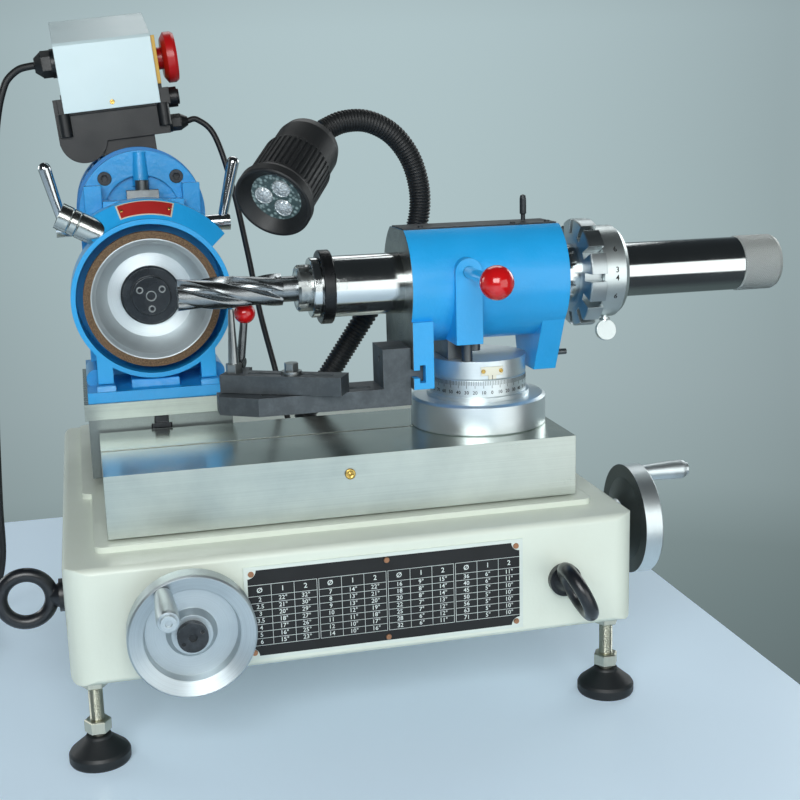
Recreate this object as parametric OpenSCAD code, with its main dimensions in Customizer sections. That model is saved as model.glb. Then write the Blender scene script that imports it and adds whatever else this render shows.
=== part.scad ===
// Bench tool and cutter grinder with an air-spindle workhead, built as separate pieces.
// Millimetres, +Z up. Machine frame: x from the base centre, y from the base front, z from the bench.
// Every piece is then moved so that the origin lies under the middle of the machine.

/* [Base casting] */
// width of the base box, left to right
base_w = 480; // [420:1:540]
// depth of the base box, front to back
base_d = 500; // [460:1:560]
// height of the base box
base_h = 97; // [80:1:120]
// space under the base box, set by the feet
base_lift = 75; // [60:1:95]
// side wall of the base box
base_wall = 12; // [8:1:16]
// thickness of the base top
base_top = 14; // [10:1:18]
// radius of the upright corners
base_corner_r = 22; // [14:1:30]
// radius of the top and bottom edges
base_edge_r = 6; // [3:0.5:7]
// height of the raised pads that carry the slides
deck_h = 5; // [3:0.5:8]

/* [Feet and eyebolts] */
// stud centre in from the side of the base
foot_inset_x = 18; // [16:0.5:30]
// stud centre in from the front or back of the base
foot_inset_y = 26; // [20:1:40]
// radius of a foot pad
pad_r = 25; // [20:0.5:32]
// radius of a foot stud
stud_r = 6; // [5:0.5:8]
// across flats of the lock nuts
nut_af = 19; // [17:0.5:24]
// middle radius of an eyebolt ring
eye_ring_r = 21; // [17:0.5:25]
// radius of the eyebolt bar
eye_bar_r = 6; // [4:0.5:7]

/* [Table] */
// length of the ground table
table_l = 405; // [360:1:430]
// depth of the ground table
table_d = 154; // [140:1:170]
// height of the ground table
table_h = 53; // [44:1:60]
// table front behind the base front
table_front = 50; // [30:1:60]
// daylight under the table
table_gap = 2; // [1:0.5:4]
// table slot behind the table front
slot_in = 84; // [70:1:95]
// width of the table slot
slot_w = 4; // [3:0.5:8]
// depth of the table slot
slot_depth = 8; // [5:0.5:12]
// travel of the table each way
table_travel = 40; // [20:1:50]

/* [Handwheels] */
// radius of both handwheels
hand_r = 50; // [40:1:60]
// handle length of the front wheel
handle_l = 55; // [45:1:75]
// handle length of the side wheel
side_handle_l = 40; // [30:1:60]
// handle axis out from the handwheel axis
handle_at = 42; // [32:1:42]
// height of the front screw axis
front_screw_z = 123; // [115:1:130]
// side screw axis behind the base front
side_screw_y = 80; // [76:1:90]
// side screw axis below the base top
side_screw_drop = 31; // [29:1:40]
// radius of a feed screw
screw_r = 7; // [6:0.5:8]

/* [Workhead] */
// dial centre right of the base centre
dial_x = 139; // [110:1:150]
// radius of the dial foot
dial_foot_r = 62; // [55:1:66]
// height of the dial foot
dial_foot_h = 31; // [24:1:34]
// radius of the graduated ring and the turning disc
dial_r = 44; // [40:0.5:46]
// height of the graduated ring
dial_ring_h = 16; // [12:1:22]
// height of the turning disc
dial_top_h = 16; // [14:1:24]
// spindle axis above the turning disc
spindle_rise = 69; // [65:0.5:74]
// radius of the head barrel
barrel_r = 54; // [48:0.5:56]
// head barrel left of the dial axis
barrel_left = 73; // [70:1:80]
// head barrel right of the dial axis
barrel_right = 70; // [68:1:78]

/* [Air spindle] */
// radius of the spindle in the head
quill_r = 27; // [24:0.5:30]
// radius of the spindle behind the index wheel
tail_r = 25; // [20:0.5:26]
// spindle nose left of the head face
nose_out = 61; // [56:1:70]
// radius of the nose collar
collar_r = 32.5; // [30:0.5:38]
// index wheel right of the head face
index_out = 20; // [20:1:30]
// radius of the index wheel
index_r = 49; // [45:0.5:54]
// length of the index wheel
index_l = 17; // [12:1:20]
// notches round the index wheel
index_notches = 12; // [8:1:18]
// length of the scale ring
scale_l = 25; // [18:1:28]
// length of the spindle behind the index wheel
tail_l = 165; // [140:1:180]
// length of the drawbar knob
knob_l = 40; // [30:1:60]
// cutting radius of the end mill
mill_r = 14; // [10:0.5:16]
// fluted length of the end mill
flute_l = 90; // [60:1:95]
// turn of the flutes over their length
flute_twist = 165; // [120:5:240]

/* [Wheelhead] */
// grinding axis right of the base centre
head_x = -145; // [-150:1:-135]
// width of the cross slide
slide_w = 132; // [124:1:138]
// length of the cross slide
slide_l = 190; // [170:1:200]
// height of the cross slide
slide_h = 55; // [48:1:60]
// cross slide above the raised deck
slide_lift = 11; // [8:0.5:14]
// thickness of the ground plate on the slide
plate_t = 15; // [10:0.5:18]
// grinding axis above the plate
wheel_rise = 92; // [90:1:100]
// motor axis above the grinding axis
motor_rise = 74; // [70:1:80]
// radius of the motor flange and its cover
flange_r = 62; // [58:1:68]
// length of the motor barrel
motor_l = 120; // [100:1:135]
// roll of the boxes about the motor axis
box_roll = 5.5; // [0:0.5:8]

/* [Grinding wheel and guard] */
// radius of the cup wheel
wheel_r = 62.5; // [55:0.5:64]
// depth of the cup wheel
wheel_depth = 46; // [36:1:48]
// outer radius of the guard ring
guard_r = 73.5; // [72:0.5:80]
// wall of the guard ring
guard_wall = 4.5; // [4:0.5:7]
// outer radius of the dust spigot
spigot_r = 12.3; // [10:0.1:14]
// length of the dust spigot outside the guard
spigot_l = 44; // [36:1:60]

/* [Lamp] */
// radius of the lamp head
lamp_r = 35; // [33:1:40]
// length of the lamp head
lamp_l = 101; // [84:1:110]
// outer radius of the flexible neck
neck_r = 10.5; // [9:0.5:12]
// ribs along the flexible neck
neck_ribs = 120; // [80:1:140]

/* [Hidden] */
$fn = 96;

// clearance of plain sliding faces on different bodies
gap = 0.3;
// radial clearance of a running fit
run = 0.06;

// heights
base_z1 = base_lift + base_h;
deck_z = base_z1 + deck_h;
side_screw_z = base_z1 - side_screw_drop;
table_z0 = deck_z + table_gap;
table_z1 = table_z0 + table_h;
ring_z = table_z1 + dial_foot_h;
top_z0 = ring_z + dial_ring_h + gap;
top_z1 = top_z0 + dial_top_h;
axis_z = top_z1 + spindle_rise;
slide_z0 = deck_z + slide_lift;
slide_z1 = slide_z0 + slide_h;
plate_z1 = slide_z1 + plate_t;
wheel_z = plate_z1 + wheel_rise;
motor_z = wheel_z + motor_rise;

// depths
table_back = table_front + table_d;
axis_y = table_front + slot_in;
slide_y0 = table_back + 6;
wheel_y = slide_y0 + 12;
cover_y = wheel_y + wheel_depth + 29;
bracket_y = cover_y + 10;
motor_y = bracket_y + 30;

// the slides and their guide ways
way_y0 = side_screw_y + 20;
way_y1 = table_back - 28;
way_h = 29;
rail_top = slide_z1 - 25;
slide_wall = 14;
rail_w = 26;
nut_y = slide_y0 + 80;
nut_l = 30;
feed_back = 40;

// spindle lengths
face_l = dial_x - barrel_left;
face_r = dial_x + barrel_right;
nose_x = face_l - nose_out;
index_x = face_r + index_out;
scale_x = index_x + index_l + 0.4;
tail_x = index_x + tail_l;
knob_x = tail_x + 0.4;

// workhead details
flat_up = 48;
top_plate_t = 2.2;
arm_w = 18.5;
arm_y0 = axis_y - 50;
arm_y1 = axis_y + 50;
arm_z0 = axis_z - 88;
tee_z = arm_z0 + 13.5;
rib_x = dial_x - 24;
rib_w = 24;
rib_y0 = axis_y - barrel_r - 4;
rib_z0 = axis_z - 50;
boss_z = axis_z + 13;
boss_r = rib_w / 2;
plunger_r = 5;
cheek_w = 21;
pivot_r = 15;
column_y = 27;

// tooth rest
rest_y0 = axis_y - 42;
rest_w = 40;
rest_z0 = arm_z0 - 15;
rest_t = 16;
rest_l = 166;
rest_x1 = face_l - gap;
bolt_x = face_l - 103;
bolt_y = axis_y - 26;
bar_z0 = rest_z0 + rest_t + 0.4;
bar_t = 16;
bar_w = 24;
bar_l = 110;
bar_turn = -28;
finger_in = 9;
finger_top = axis_z - mill_r - 0.6;

// outside reach of the machine, which sets the origin
reach_left = base_w / 2 + 6 + eye_ring_r + 2 * eye_bar_r + eye_ring_r;
reach_right = knob_x + knob_l;
handle_y = 39.5;
reach_front = handle_y + 1 + handle_l + 3;
reach_back = base_d + 6 + 2 * eye_ring_r + 2 * eye_bar_r;
shift_x = (reach_left - reach_right) / 2;
shift_y = (reach_front - reach_back) / 2;

cream = [0.86, 0.87, 0.80];
blue = [0.16, 0.55, 0.83];
steel = [0.72, 0.73, 0.74];
dark = [0.20, 0.20, 0.21];
black = [0.06, 0.06, 0.07];
red = [0.80, 0.08, 0.07];
alloy = [0.80, 0.81, 0.82];

// helpers

module machine() {
    translate([shift_x, shift_y, 0]) children();
}

module rounded_rect(w, d, r) {
    square([w - 2 * r, d], center = true);
    square([w, d - 2 * r], center = true);
    for (x = [-1, 1], y = [-1, 1])
        translate([x * (w / 2 - r), y * (d / 2 - r)]) circle(r);
}

// round bar along X, Y from the first to the second place
module bar_x(r, x0, x1, r2 = -1) {
    translate([x0, 0, 0]) rotate([0, 90, 0])
        cylinder(h = x1 - x0, r1 = r, r2 = r2 < 0 ? r : r2);
}

module bar_y(r, y0, y1, r2 = -1) {
    translate([0, y0, 0]) rotate([-90, 0, 0])
        cylinder(h = y1 - y0, r1 = r, r2 = r2 < 0 ? r : r2);
}

// profile of radius against length, turned about the X or the Y axis
module turn_x(points) {
    rotate([0, 90, 0]) rotate_extrude() polygon(points);
}

module turn_y(points) {
    rotate([-90, 0, 0]) rotate_extrude() polygon(points);
}

// block from its low corner to its high corner
module block(a, b) {
    translate(a) cube(b - a);
}

// outline in Y and Z drawn out along X
module slab_x(x0, x1, points) {
    translate([x0, 0, 0]) rotate([90, 0, 90]) linear_extrude(x1 - x0) polygon(points);
}

module hex(af, h) {
    cylinder(h = h, r = af / 2 / cos(30), $fn = 6);
}

module at_feet() {
    for (x = [-1, 1], y = [foot_inset_y, base_d - foot_inset_y])
        translate([x * (base_w / 2 - foot_inset_x), y, 0]) children();
}

// the four eyebolts: child axis +Z points out of the base wall
module at_eyes() {
    eye_y = 93;
    eye_x = 172;
    eye_z = base_lift + base_h / 2 - 2.5;
    translate([-base_w / 2, eye_y, eye_z]) rotate([0, -90, 0]) children();
    translate([base_w / 2, base_d - eye_y, eye_z]) rotate([0, 90, 0]) children();
    translate([eye_x, 0, eye_z]) rotate([90, 0, 0]) rotate([0, 0, 115]) children();
    translate([-eye_x, base_d, eye_z]) rotate([-90, 0, 0]) rotate([0, 0, 115]) children();
}

// smooth curve through hand-chosen points
function spline_at(p, i, t) =
    let (n = len(p) - 1,
         a = p[max(i - 1, 0)],
         b = p[i],
         c = p[min(i + 1, n)],
         d = p[min(i + 2, n)])
    0.5 * (2 * b + (c - a) * t + (2 * a - 5 * b + 4 * c - d) * t * t
        + (3 * b - a - 3 * c + d) * t * t * t);
function curve(p, count) =
    [for (k = [0 : count])
        let (s = k / count * (len(p) - 1), i = min(floor(s), len(p) - 2)) spline_at(p, i, s - i)];
function unit(v) = v / norm(v);
function tangent(p, i) = unit(p[min(i + 1, len(p) - 1)] - p[max(i - 1, 0)]);

// side directions carried along a path without twisting
function sides(p, first) =
    let (n = len(p))
    [for (i = 0, u = unit(first - (first * tangent(p, 0)) * tangent(p, 0)); i < n;
          i = i + 1,
          u = i < n ? let (t = tangent(p, i)) unit(u - (u * t) * t) : u) u];

// closed tube along a path, one radius for each point
module tube(p, radii, n = 8, first = [0.13, 0.97, 0.21]) {
    side = sides(p, first);
    m = len(p);
    points = [for (i = [0 : m - 1])
        let (t = tangent(p, i), u = side[i], w = cross(t, u))
        for (k = [0 : n - 1]) p[i] + radii[i] * (cos(360 * k / n) * u + sin(360 * k / n) * w)];
    walls = [for (i = [0 : m - 2], k = [0 : n - 1])
        let (j = (k + 1) % n)
        each [[i * n + k, (i + 1) * n + k, (i + 1) * n + j], [i * n + k, (i + 1) * n + j, i * n + j]]];
    ends = [[for (k = [0 : n - 1]) k], [for (k = [n - 1 : -1 : 0]) (m - 1) * n + k]];
    polyhedron(points, concat(walls, ends), convexity = 10);
}

// base and what is fixed to it

// box with round corners whose top and bottom edges are rounded too
module base_block() {
    mid = base_lift + base_h / 2;
    over = 0.2;
    intersection() {
        translate([0, base_d / 2, base_lift])
            linear_extrude(base_h) rounded_rect(base_w, base_d, base_corner_r);
        translate([0, base_d + 1, mid]) rotate([90, 0, 0])
            linear_extrude(base_d + 2) rounded_rect(base_w + over, base_h + over, base_edge_r);
        translate([-base_w / 2 - 1, base_d / 2, mid]) rotate([90, 0, 90])
            linear_extrude(base_w + 2) rounded_rect(base_d + over, base_h + over, base_edge_r);
    }
}

module base_shell() {
    inner_r = max(base_corner_r - base_wall, 4);
    difference() {
        union() {
            base_block();
            translate([0, (table_front + table_back) / 2, base_z1 - 1])
                linear_extrude(deck_h + 1) rounded_rect(table_l + 22, table_d + 24, 8);
            translate([head_x, (table_back - 6 + base_d - 15) / 2, base_z1 - 1])
                linear_extrude(deck_h + 1)
                    rounded_rect(slide_w + 22, base_d - 15 - table_back + 6, 8);
        }
        translate([0, base_d / 2, base_lift - 1])
            linear_extrude(base_h - base_top + 1)
                rounded_rect(base_w - 2 * base_wall, base_d - 2 * base_wall, inner_r);
    }
    at_feet() translate([0, 0, base_lift]) cylinder(h = base_h - base_top + 1, r = stud_r + 9);
}

module base_casting() {
    color(cream) machine() difference() {
        base_shell();
        at_feet() translate([0, 0, base_lift - 1]) cylinder(h = 46, r = stud_r + 0.1);
        at_eyes() translate([0, 0, -base_wall - 1]) cylinder(h = base_wall + 2, r = 6.1);
        // ways through the top for the two feed nuts
        block([-table_travel - 22, side_screw_y - 16, base_z1 - base_top - 1],
              [table_travel + 22, side_screw_y + 16, deck_z + 1]);
        block([head_x - 17, nut_y - 12, base_z1 - base_top - 1],
              [head_x + 17, nut_y + nut_l + feed_back + 6, deck_z + 1]);
        // seats of the two screw bushes
        translate([head_x, 0, front_screw_z]) bar_y(13, -1, base_wall + 1);
        translate([0, side_screw_y, side_screw_z]) bar_x(13, base_w / 2 - base_wall - 1, base_w / 2 + 1);
    }
}

module foot_pads() {
    color(black) machine() at_feet() rotate_extrude()
        polygon([[0, 0], [pad_r - 1, 0], [pad_r, 2], [pad_r, 8], [pad_r - 1.5, 10.5], [stud_r + 5, 21],
                 [stud_r + 4, 23], [0, 23]]);
}

module foot_studs() {
    color(steel) machine() at_feet() {
        translate([0, 0, 23]) cylinder(h = base_lift + 22, r = stud_r);
        translate([0, 0, 25.5]) hex(nut_af, 11);
        translate([0, 0, base_lift - 10]) hex(nut_af, 10);
    }
}

module eyebolts() {
    color(black) machine() at_eyes() {
        translate([0, 0, -base_wall]) cylinder(h = base_wall + 0.5, r = 6);
        cylinder(h = 6, r = 14);
        translate([0, 0, 5.5]) cylinder(h = 8, r1 = 11, r2 = eye_bar_r);
        translate([0, 0, 6 + eye_ring_r + eye_bar_r]) rotate([90, 0, 0])
            rotate_extrude() translate([eye_ring_r, 0]) circle(eye_bar_r);
    }
}

chart_x0 = -100;
chart_x1 = 135;
chart_z0 = base_lift + 7;
chart_z1 = base_z1 - 11;

module chart_plate() {
    inset = 6;
    color(alloy) machine() {
        block([chart_x0, -1.2, chart_z0], [chart_x1, 0, chart_z1]);
        for (x = [chart_x0 + inset, (chart_x0 + chart_x1) / 2, chart_x1 - inset],
             z = [chart_z0 + inset, chart_z1 - inset])
            translate([x, 0, z]) bar_y(2.2, -2.2, -1, 2.6);
    }
}

module screw_bearings() {
    journal = screw_r + 1 + run;
    hang_x = -table_travel - 50;
    hang_y = nut_y + nut_l + feed_back + 16;
    color([0.72, 0.56, 0.28]) machine() difference() {
        union() {
            translate([head_x, 0, front_screw_z]) {
                bar_y(17, -4, 0);
                bar_y(13, -1, base_wall + 4);
            }
            translate([0, side_screw_y, side_screw_z]) {
                bar_x(17, base_w / 2, base_w / 2 + 4);
                bar_x(13, base_w / 2 - base_wall - 4, base_w / 2 + 1);
            }
            block([hang_x, side_screw_y - 14, side_screw_z - 15],
                  [hang_x + 18, side_screw_y + 14, base_z1 - base_top]);
            block([head_x - 14, hang_y, front_screw_z - 15],
                  [head_x + 14, hang_y + 18, base_z1 - base_top]);
        }
        translate([head_x, 0, front_screw_z]) bar_y(journal, -6, base_wall + 6);
        translate([0, side_screw_y, side_screw_z])
            bar_x(journal, base_w / 2 - base_wall - 6, base_w / 2 + 6);
        translate([0, side_screw_y, side_screw_z]) bar_x(screw_r + run, hang_x - 1, hang_x + 19);
        translate([head_x, 0, front_screw_z]) bar_y(screw_r + run, hang_y - 1, hang_y + 19);
    }
}

module bed_ways() {
    side = slide_w / 2 - slide_wall - gap;
    color(steel) machine() {
        block([-170, way_y0, deck_z], [170, way_y1, deck_z + way_h]);
        for (s = [-1, 1])
            translate([head_x + s * (side - rail_w / 2), 0, 0])
                block([-rail_w / 2, slide_y0 - 4, deck_z], [rail_w / 2, base_d - 30, rail_top - gap]);
    }
}

// handwheels: child axis +Z points out of the wall, the handle at the given angle

rim_front = 39;

module hand_wheel(angle, grip) {
    rotate_extrude()
        polygon([[screw_r + 1, 5], [17, 5], [19, 15], [hand_r * 0.76, 22], [hand_r, 22],
                 [hand_r, rim_front - 1.5], [hand_r - 1.5, rim_front], [hand_r * 0.75, rim_front - 4],
                 [hand_r * 0.72, 27], [20, 27], [16, 33], [screw_r + 1, 33]]);
    rotate([0, 0, angle]) translate([handle_at, 0, 0]) {
        translate([0, 0, 24]) cylinder(h = handle_y + grip - 22, r = 4);
        translate([0, 0, handle_y + grip + 1.3]) difference() {
            cylinder(h = 2.7, r = 6);
            translate([0, 0, 1]) hex(5, 3);
        }
    }
}

module hand_grip(angle, grip) {
    rotate([0, 0, angle]) translate([handle_at, 0, handle_y]) rotate_extrude()
        polygon([[4 + run, 0], [6.4, 0], [7, 2], [8.6, grip * 0.7], [8.6, grip - 2],
                 [7.8, grip + 0.9], [4 + run, grip + 0.9]]);
}

// feed screw with its collar: z = 0 is the outside of the wall
module feed_screw(inside) {
    cylinder(h = 33, r = screw_r + 1);
    translate([0, 0, -base_wall - 5]) cylinder(h = base_wall + 6, r = screw_r + 1);
    translate([0, 0, -inside]) cylinder(h = inside, r = screw_r);
    difference() {
        translate([0, 0, 33]) cylinder(h = 7, r = 12);
        for (a = [0, 180])
            rotate([0, 0, a + 30]) translate([8.6, 0, 38]) cylinder(h = 3, r = 1.6);
        translate([0, 0, 38]) hex(6, 3);
    }
}

module at_front_screw() {
    translate([head_x, 0, front_screw_z]) rotate([90, 0, 0]) children();
}

module at_side_screw() {
    translate([base_w / 2, side_screw_y, side_screw_z]) rotate([90, 0, 90]) children();
}

front_angle = 119;
side_angle = 90;

module front_wheel() {
    color(alloy) machine() at_front_screw() hand_wheel(front_angle, handle_l);
}

module front_handle() {
    color(alloy) machine() at_front_screw() hand_grip(front_angle, handle_l);
}

module front_screw() {
    color(dark) machine() at_front_screw() feed_screw(nut_y + nut_l + feed_back + 32);
}

module side_wheel() {
    color(alloy) machine() at_side_screw() hand_wheel(side_angle, side_handle_l);
}

module side_handle() {
    color(alloy) machine() at_side_screw() hand_grip(side_angle, side_handle_l);
}

module side_screw() {
    color(dark) machine() at_side_screw() feed_screw(base_w / 2 + table_travel + 48);
}

// table and the lower half of the dial

module table() {
    color(steel) machine() difference() {
        union() {
            block([-table_l / 2, table_front, table_z0], [table_l / 2, table_back, table_z1]);
            block([-16, side_screw_y - 12, side_screw_z - 14], [16, side_screw_y + 12, table_z0 + 1]);
        }
        block([-table_l, way_y0 - gap, table_z0 - 1], [table_l, way_y1 + gap, deck_z + way_h + gap]);
        block([-table_l, axis_y - slot_w / 2, table_z1 - slot_depth],
              [table_l, axis_y + slot_w / 2, table_z1 + 1]);
        translate([0, side_screw_y, side_screw_z]) bar_x(screw_r + gap, -20, 20);
        // seat of the ball oiler
        translate([0, 0, table_z0 + table_h * 0.7]) bar_y(4, table_front - 1, table_front + 2);
    }
}

module at_dial() {
    translate([dial_x, axis_y, 0]) children();
}

module dial_foot() {
    key_l = 60;
    color(steel) machine() at_dial() {
        translate([0, 0, table_z1]) rotate_extrude()
            polygon([[0, 0], [dial_foot_r - 1, 0], [dial_foot_r, 1], [dial_foot_r, dial_foot_h - 6],
                     [dial_foot_r - 3, dial_foot_h - 4], [dial_r + 3, dial_foot_h - 4],
                     [dial_r + 3, dial_foot_h], [0, dial_foot_h]]);
        translate([0, 0, ring_z - 1]) cylinder(h = top_z1 - ring_z - 3, r = pivot_r);
        block([-key_l / 2, -slot_w / 2 + 0.05, table_z1 - slot_depth + 1],
              [key_l / 2, slot_w / 2 - 0.05, table_z1 + 1]);
    }
}

module dial_ring() {
    color(alloy) machine() at_dial() translate([0, 0, ring_z]) rotate_extrude()
        polygon([[pivot_r, 0], [dial_r, 0], [dial_r, dial_ring_h - 1], [dial_r - 1, dial_ring_h],
                 [pivot_r, dial_ring_h]]);
}

// turning half of the workhead

module dial_top() {
    color(alloy) machine() at_dial() difference() {
        translate([0, 0, top_z0]) cylinder(h = dial_top_h, r = dial_r);
        translate([0, 0, top_z0 - 1]) cylinder(h = dial_top_h - 2, r = pivot_r + run);
    }
}

module head_pedestal() {
    pin_y = axis_y - 34;
    color(dark) machine() {
        difference() {
            block([dial_x - 34, axis_y - column_y, top_z1], [dial_x - 12, axis_y + column_y, axis_z]);
            translate([0, axis_y, axis_z]) bar_x(barrel_r, face_l, face_r);
            block([rib_x - rib_w, rib_y0, rib_z0 - 20], [rib_x + rib_w, rib_y0 + 36, axis_z]);
        }
        translate([rib_x + 4, pin_y, top_z1]) cylinder(h = rib_z0 - top_z1, r = 5);
        translate([rib_x + 12, pin_y + 4, rib_z0 - 10]) cylinder(h = 10, r = 5.5);
        // small clamp pin in the right cheek
        translate([0, axis_y - 6, axis_z - 72]) bar_x(3, face_r, face_r + 14, 2.6);
    }
}

module tee_cut(z, extra) {
    block([face_l - 1, arm_y0 - 1, z - 3.5 - extra], [face_l + 6, arm_y1 + 1, z + 3.5 + extra]);
    block([face_l + 5.7 - extra, arm_y0 - 1, z - 7.8 - extra],
          [face_l + 10.8 + extra, arm_y1 + 1, z + 7.8 + extra]);
}

module head_casting() {
    color(blue) machine() difference() {
        union() {
            difference() {
                translate([0, axis_y, axis_z]) bar_x(barrel_r, face_l, face_r);
                block([face_l - 1, axis_y - barrel_r, axis_z + flat_up],
                      [face_r + 1, axis_y + barrel_r, axis_z + barrel_r + 1]);
            }
            // arm that carries the tooth rest
            block([face_l, arm_y0, arm_z0], [face_l + arm_w, arm_y1, axis_z - 29]);
            // front rib and its boss
            block([rib_x - rib_w / 2, rib_y0, rib_z0], [rib_x + rib_w / 2, rib_y0 + 36, boss_z]);
            translate([rib_x, 0, boss_z]) bar_y(boss_r, rib_y0, rib_y0 + 36);
            // right cheek
            slab_x(face_r - cheek_w, face_r,
                   [[axis_y - barrel_r + 4, axis_z - 16], [axis_y - 16, arm_z0 + 3],
                    [axis_y + 28, arm_z0 + 3], [axis_y + barrel_r - 4, axis_z - 16]]);
        }
        translate([0, axis_y, axis_z]) bar_x(quill_r + run, face_l - 1, face_r + 1);
        tee_cut(tee_z, 0);
        translate([rib_x, 0, boss_z]) bar_y(plunger_r + run, rib_y0 - 1, rib_y0 + 24);
        block([face_l + 1, axis_y - 21, axis_z + flat_up - 1],
              [face_r - 1, axis_y + 21, axis_z + flat_up + 9]);
    }
}

module head_top_plate() {
    color(steel) machine() {
        z = axis_z + flat_up - 1;
        block([face_l + 1, axis_y - 21, z], [face_r - 1, axis_y + 21, z + top_plate_t]);
        for (x = [dial_x - 55, dial_x + 30, dial_x + 62])
            translate([x, axis_y - 15, z + top_plate_t]) cylinder(h = 1.4, r = 2.5);
    }
}

module plunger_rod() {
    color(steel) machine() translate([rib_x, 0, boss_z]) bar_y(plunger_r, rib_y0 - 66, rib_y0 + 23);
}

module plunger_ball() {
    color(red) machine() translate([rib_x, rib_y0 - 76, boss_z]) rotate([-90, 0, 0]) difference() {
        sphere(14.2);
        translate([0, 0, 10]) cylinder(h = 10, r = plunger_r);
    }
}

module toggle_lever() {
    color(black) machine() translate([dial_x + 45, axis_y, axis_z + flat_up - 1 + top_plate_t])
        rotate_extrude() polygon([[0, 0.8], [2, 0.8], [2, 6], [3, 7], [3, 20], [2.4, 23], [0, 24]]);
}

// air spindle: slides in the head, then turns

module at_spindle() {
    translate([0, axis_y, axis_z]) children();
}

module scale_ring() {
    color(alloy) machine() at_spindle() difference() {
        turn_x([[tail_r + run, scale_x], [42, scale_x], [42, scale_x + scale_l - 4],
                [39, scale_x + scale_l], [tail_r + run, scale_x + scale_l]]);
        rotate([thumb_turn, 0, 0]) translate([scale_x + scale_l / 2, 0, -45])
            cylinder(h = 17, r = 3 + run);
    }
}

thumb_turn = -15;

module thumb_screw() {
    color(alloy) machine() at_spindle() rotate([thumb_turn, 0, 0])
        translate([scale_x + scale_l / 2, 0, 0]) {
            translate([0, 0, -47]) cylinder(h = 18, r = 3);
            translate([0, 0, -45.6]) cylinder(h = 2, r = 5);
            translate([0, 0, -55]) bar_y(9.5, -2.5, 2.5);
        }
}

module quill() {
    color([0.80, 0.81, 0.83]) machine() at_spindle() turn_x([
        [0, nose_x - 31], [15, nose_x - 31], [15, nose_x - 19], [quill_r - 1.5, nose_x - 19],
        [quill_r - 0.5, nose_x - 18], [quill_r - 0.5, nose_x - 11], [quill_r - 2, nose_x - 11],
        [quill_r - 2, nose_x - 0.5], [quill_r, nose_x - 0.5],
        [quill_r, index_x], [tail_r, index_x], [tail_r, tail_x],
        [10, tail_x], [10, tail_x + knob_l - 12], [0, tail_x + knob_l - 12]]);
}

// black flange behind the nose, and the slotted collet nut in front of it
module nose_collar() {
    nut_slots = 6;
    color(black) machine() at_spindle() {
        turn_x([[quill_r - 2, nose_x - 11], [collar_r - 1, nose_x - 11], [collar_r, nose_x - 10],
                [collar_r, nose_x - 1.5], [collar_r - 1, nose_x - 0.5], [quill_r - 2, nose_x - 0.5]]);
        difference() {
            turn_x([[15, nose_x - 31], [18.5, nose_x - 31], [20.5, nose_x - 29], [20.5, nose_x - 19],
                    [15, nose_x - 19]]);
            for (k = [0 : nut_slots - 1]) rotate([360 * k / nut_slots + 12, 0, 0])
                block([nose_x - 32, -2.5, 18], [nose_x - 23, 2.5, 22]);
        }
    }
}

// the two-dimensional section of the cutter: four hooked flutes round a core
module mill_section() {
    difference() {
        circle(mill_r, $fn = 32);
        for (a = [0 : 90 : 270]) rotate(a) {
            translate([mill_r * 0.86, -mill_r * 0.34]) circle(mill_r * 0.42, $fn = 20);
            translate([mill_r * 0.78, -mill_r * 0.5]) square([mill_r, mill_r * 0.5]);
        }
    }
}

module end_mill() {
    shank_l = 13;
    root = nose_x - 31;
    color([0.66, 0.67, 0.69]) machine() at_spindle() {
        translate([root - shank_l, 0, 0]) bar_x(mill_r * 0.8, 0, shank_l);
        translate([root - shank_l + 0.5, 0, 0]) rotate([0, -90, 0])
            linear_extrude(height = flute_l, twist = -flute_twist, slices = 34) mill_section();
    }
}

module index_wheel() {
    notch_w = 7;
    notch_d = 13;
    color(dark) machine() at_spindle() difference() {
        turn_x([[tail_r, index_x], [32, index_x], [index_r - 1, index_x + 2], [index_r, index_x + 3],
                [index_r, index_x + index_l], [tail_r, index_x + index_l]]);
        for (k = [0 : index_notches - 1]) rotate([360 * k / index_notches, 0, 0])
            translate([index_x - 1, -notch_w / 2, index_r - notch_d])
                cube([index_l + 2, notch_w, notch_d + 2]);
    }
}

module drawbar_knob() {
    knob_r = tail_r + 0.8;
    end = knob_x + knob_l;
    color(steel) machine() at_spindle() difference() {
        turn_x([[0, knob_x], [knob_r - 1, knob_x], [knob_r, knob_x + 1], [knob_r, end - 5],
                [knob_r - 1.5, end - 1.8], [knob_r - 5, end], [0, end]]);
        bar_x(10 + run, knob_x - 1, end - 11);
    }
}

// tooth rest on the head's arm

module rest_arm() {
    slot_x0 = rest_x1 - 130;
    slot_x1 = rest_x1 - 34;
    color(black) machine() difference() {
        union() {
            block([rest_x1 - rest_l, rest_y0, rest_z0], [rest_x1, rest_y0 + rest_w, rest_z0 + rest_t]);
            block([rest_x1 - 25, rest_y0, rest_z0], [rest_x1, rest_y0 + rest_w, rest_z0 + 51]);
            block([rest_x1 - 1, rest_y0, tee_z - 3.5 + gap],
                  [face_l + 7, rest_y0 + rest_w, tee_z + 3.5 - gap]);
            block([face_l + 5.7 + gap, rest_y0, tee_z - 7.8 + gap],
                  [face_l + 10.8 - gap, rest_y0 + rest_w, tee_z + 7.8 - gap]);
        }
        block([slot_x0, bolt_y - 4.5, rest_z0 - 1], [slot_x1, bolt_y + 4.5, rest_z0 + rest_t + 1]);
        translate([0, rest_y0 + 14, tee_z + 12]) bar_x(3, rest_x1 - 30, rest_x1 - 10);
        // long bevel across the front corner of the free end
        translate([rest_x1 - rest_l - 1, rest_y0 - 1, rest_z0 - 1]) linear_extrude(rest_t + 2)
            polygon([[0, 0], [34, 0], [0, 22]]);
    }
}

module at_rest_bolt() {
    translate([bolt_x, bolt_y, 0]) rotate([0, 0, bar_turn]) children();
}

bar_left = -62;

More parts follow.
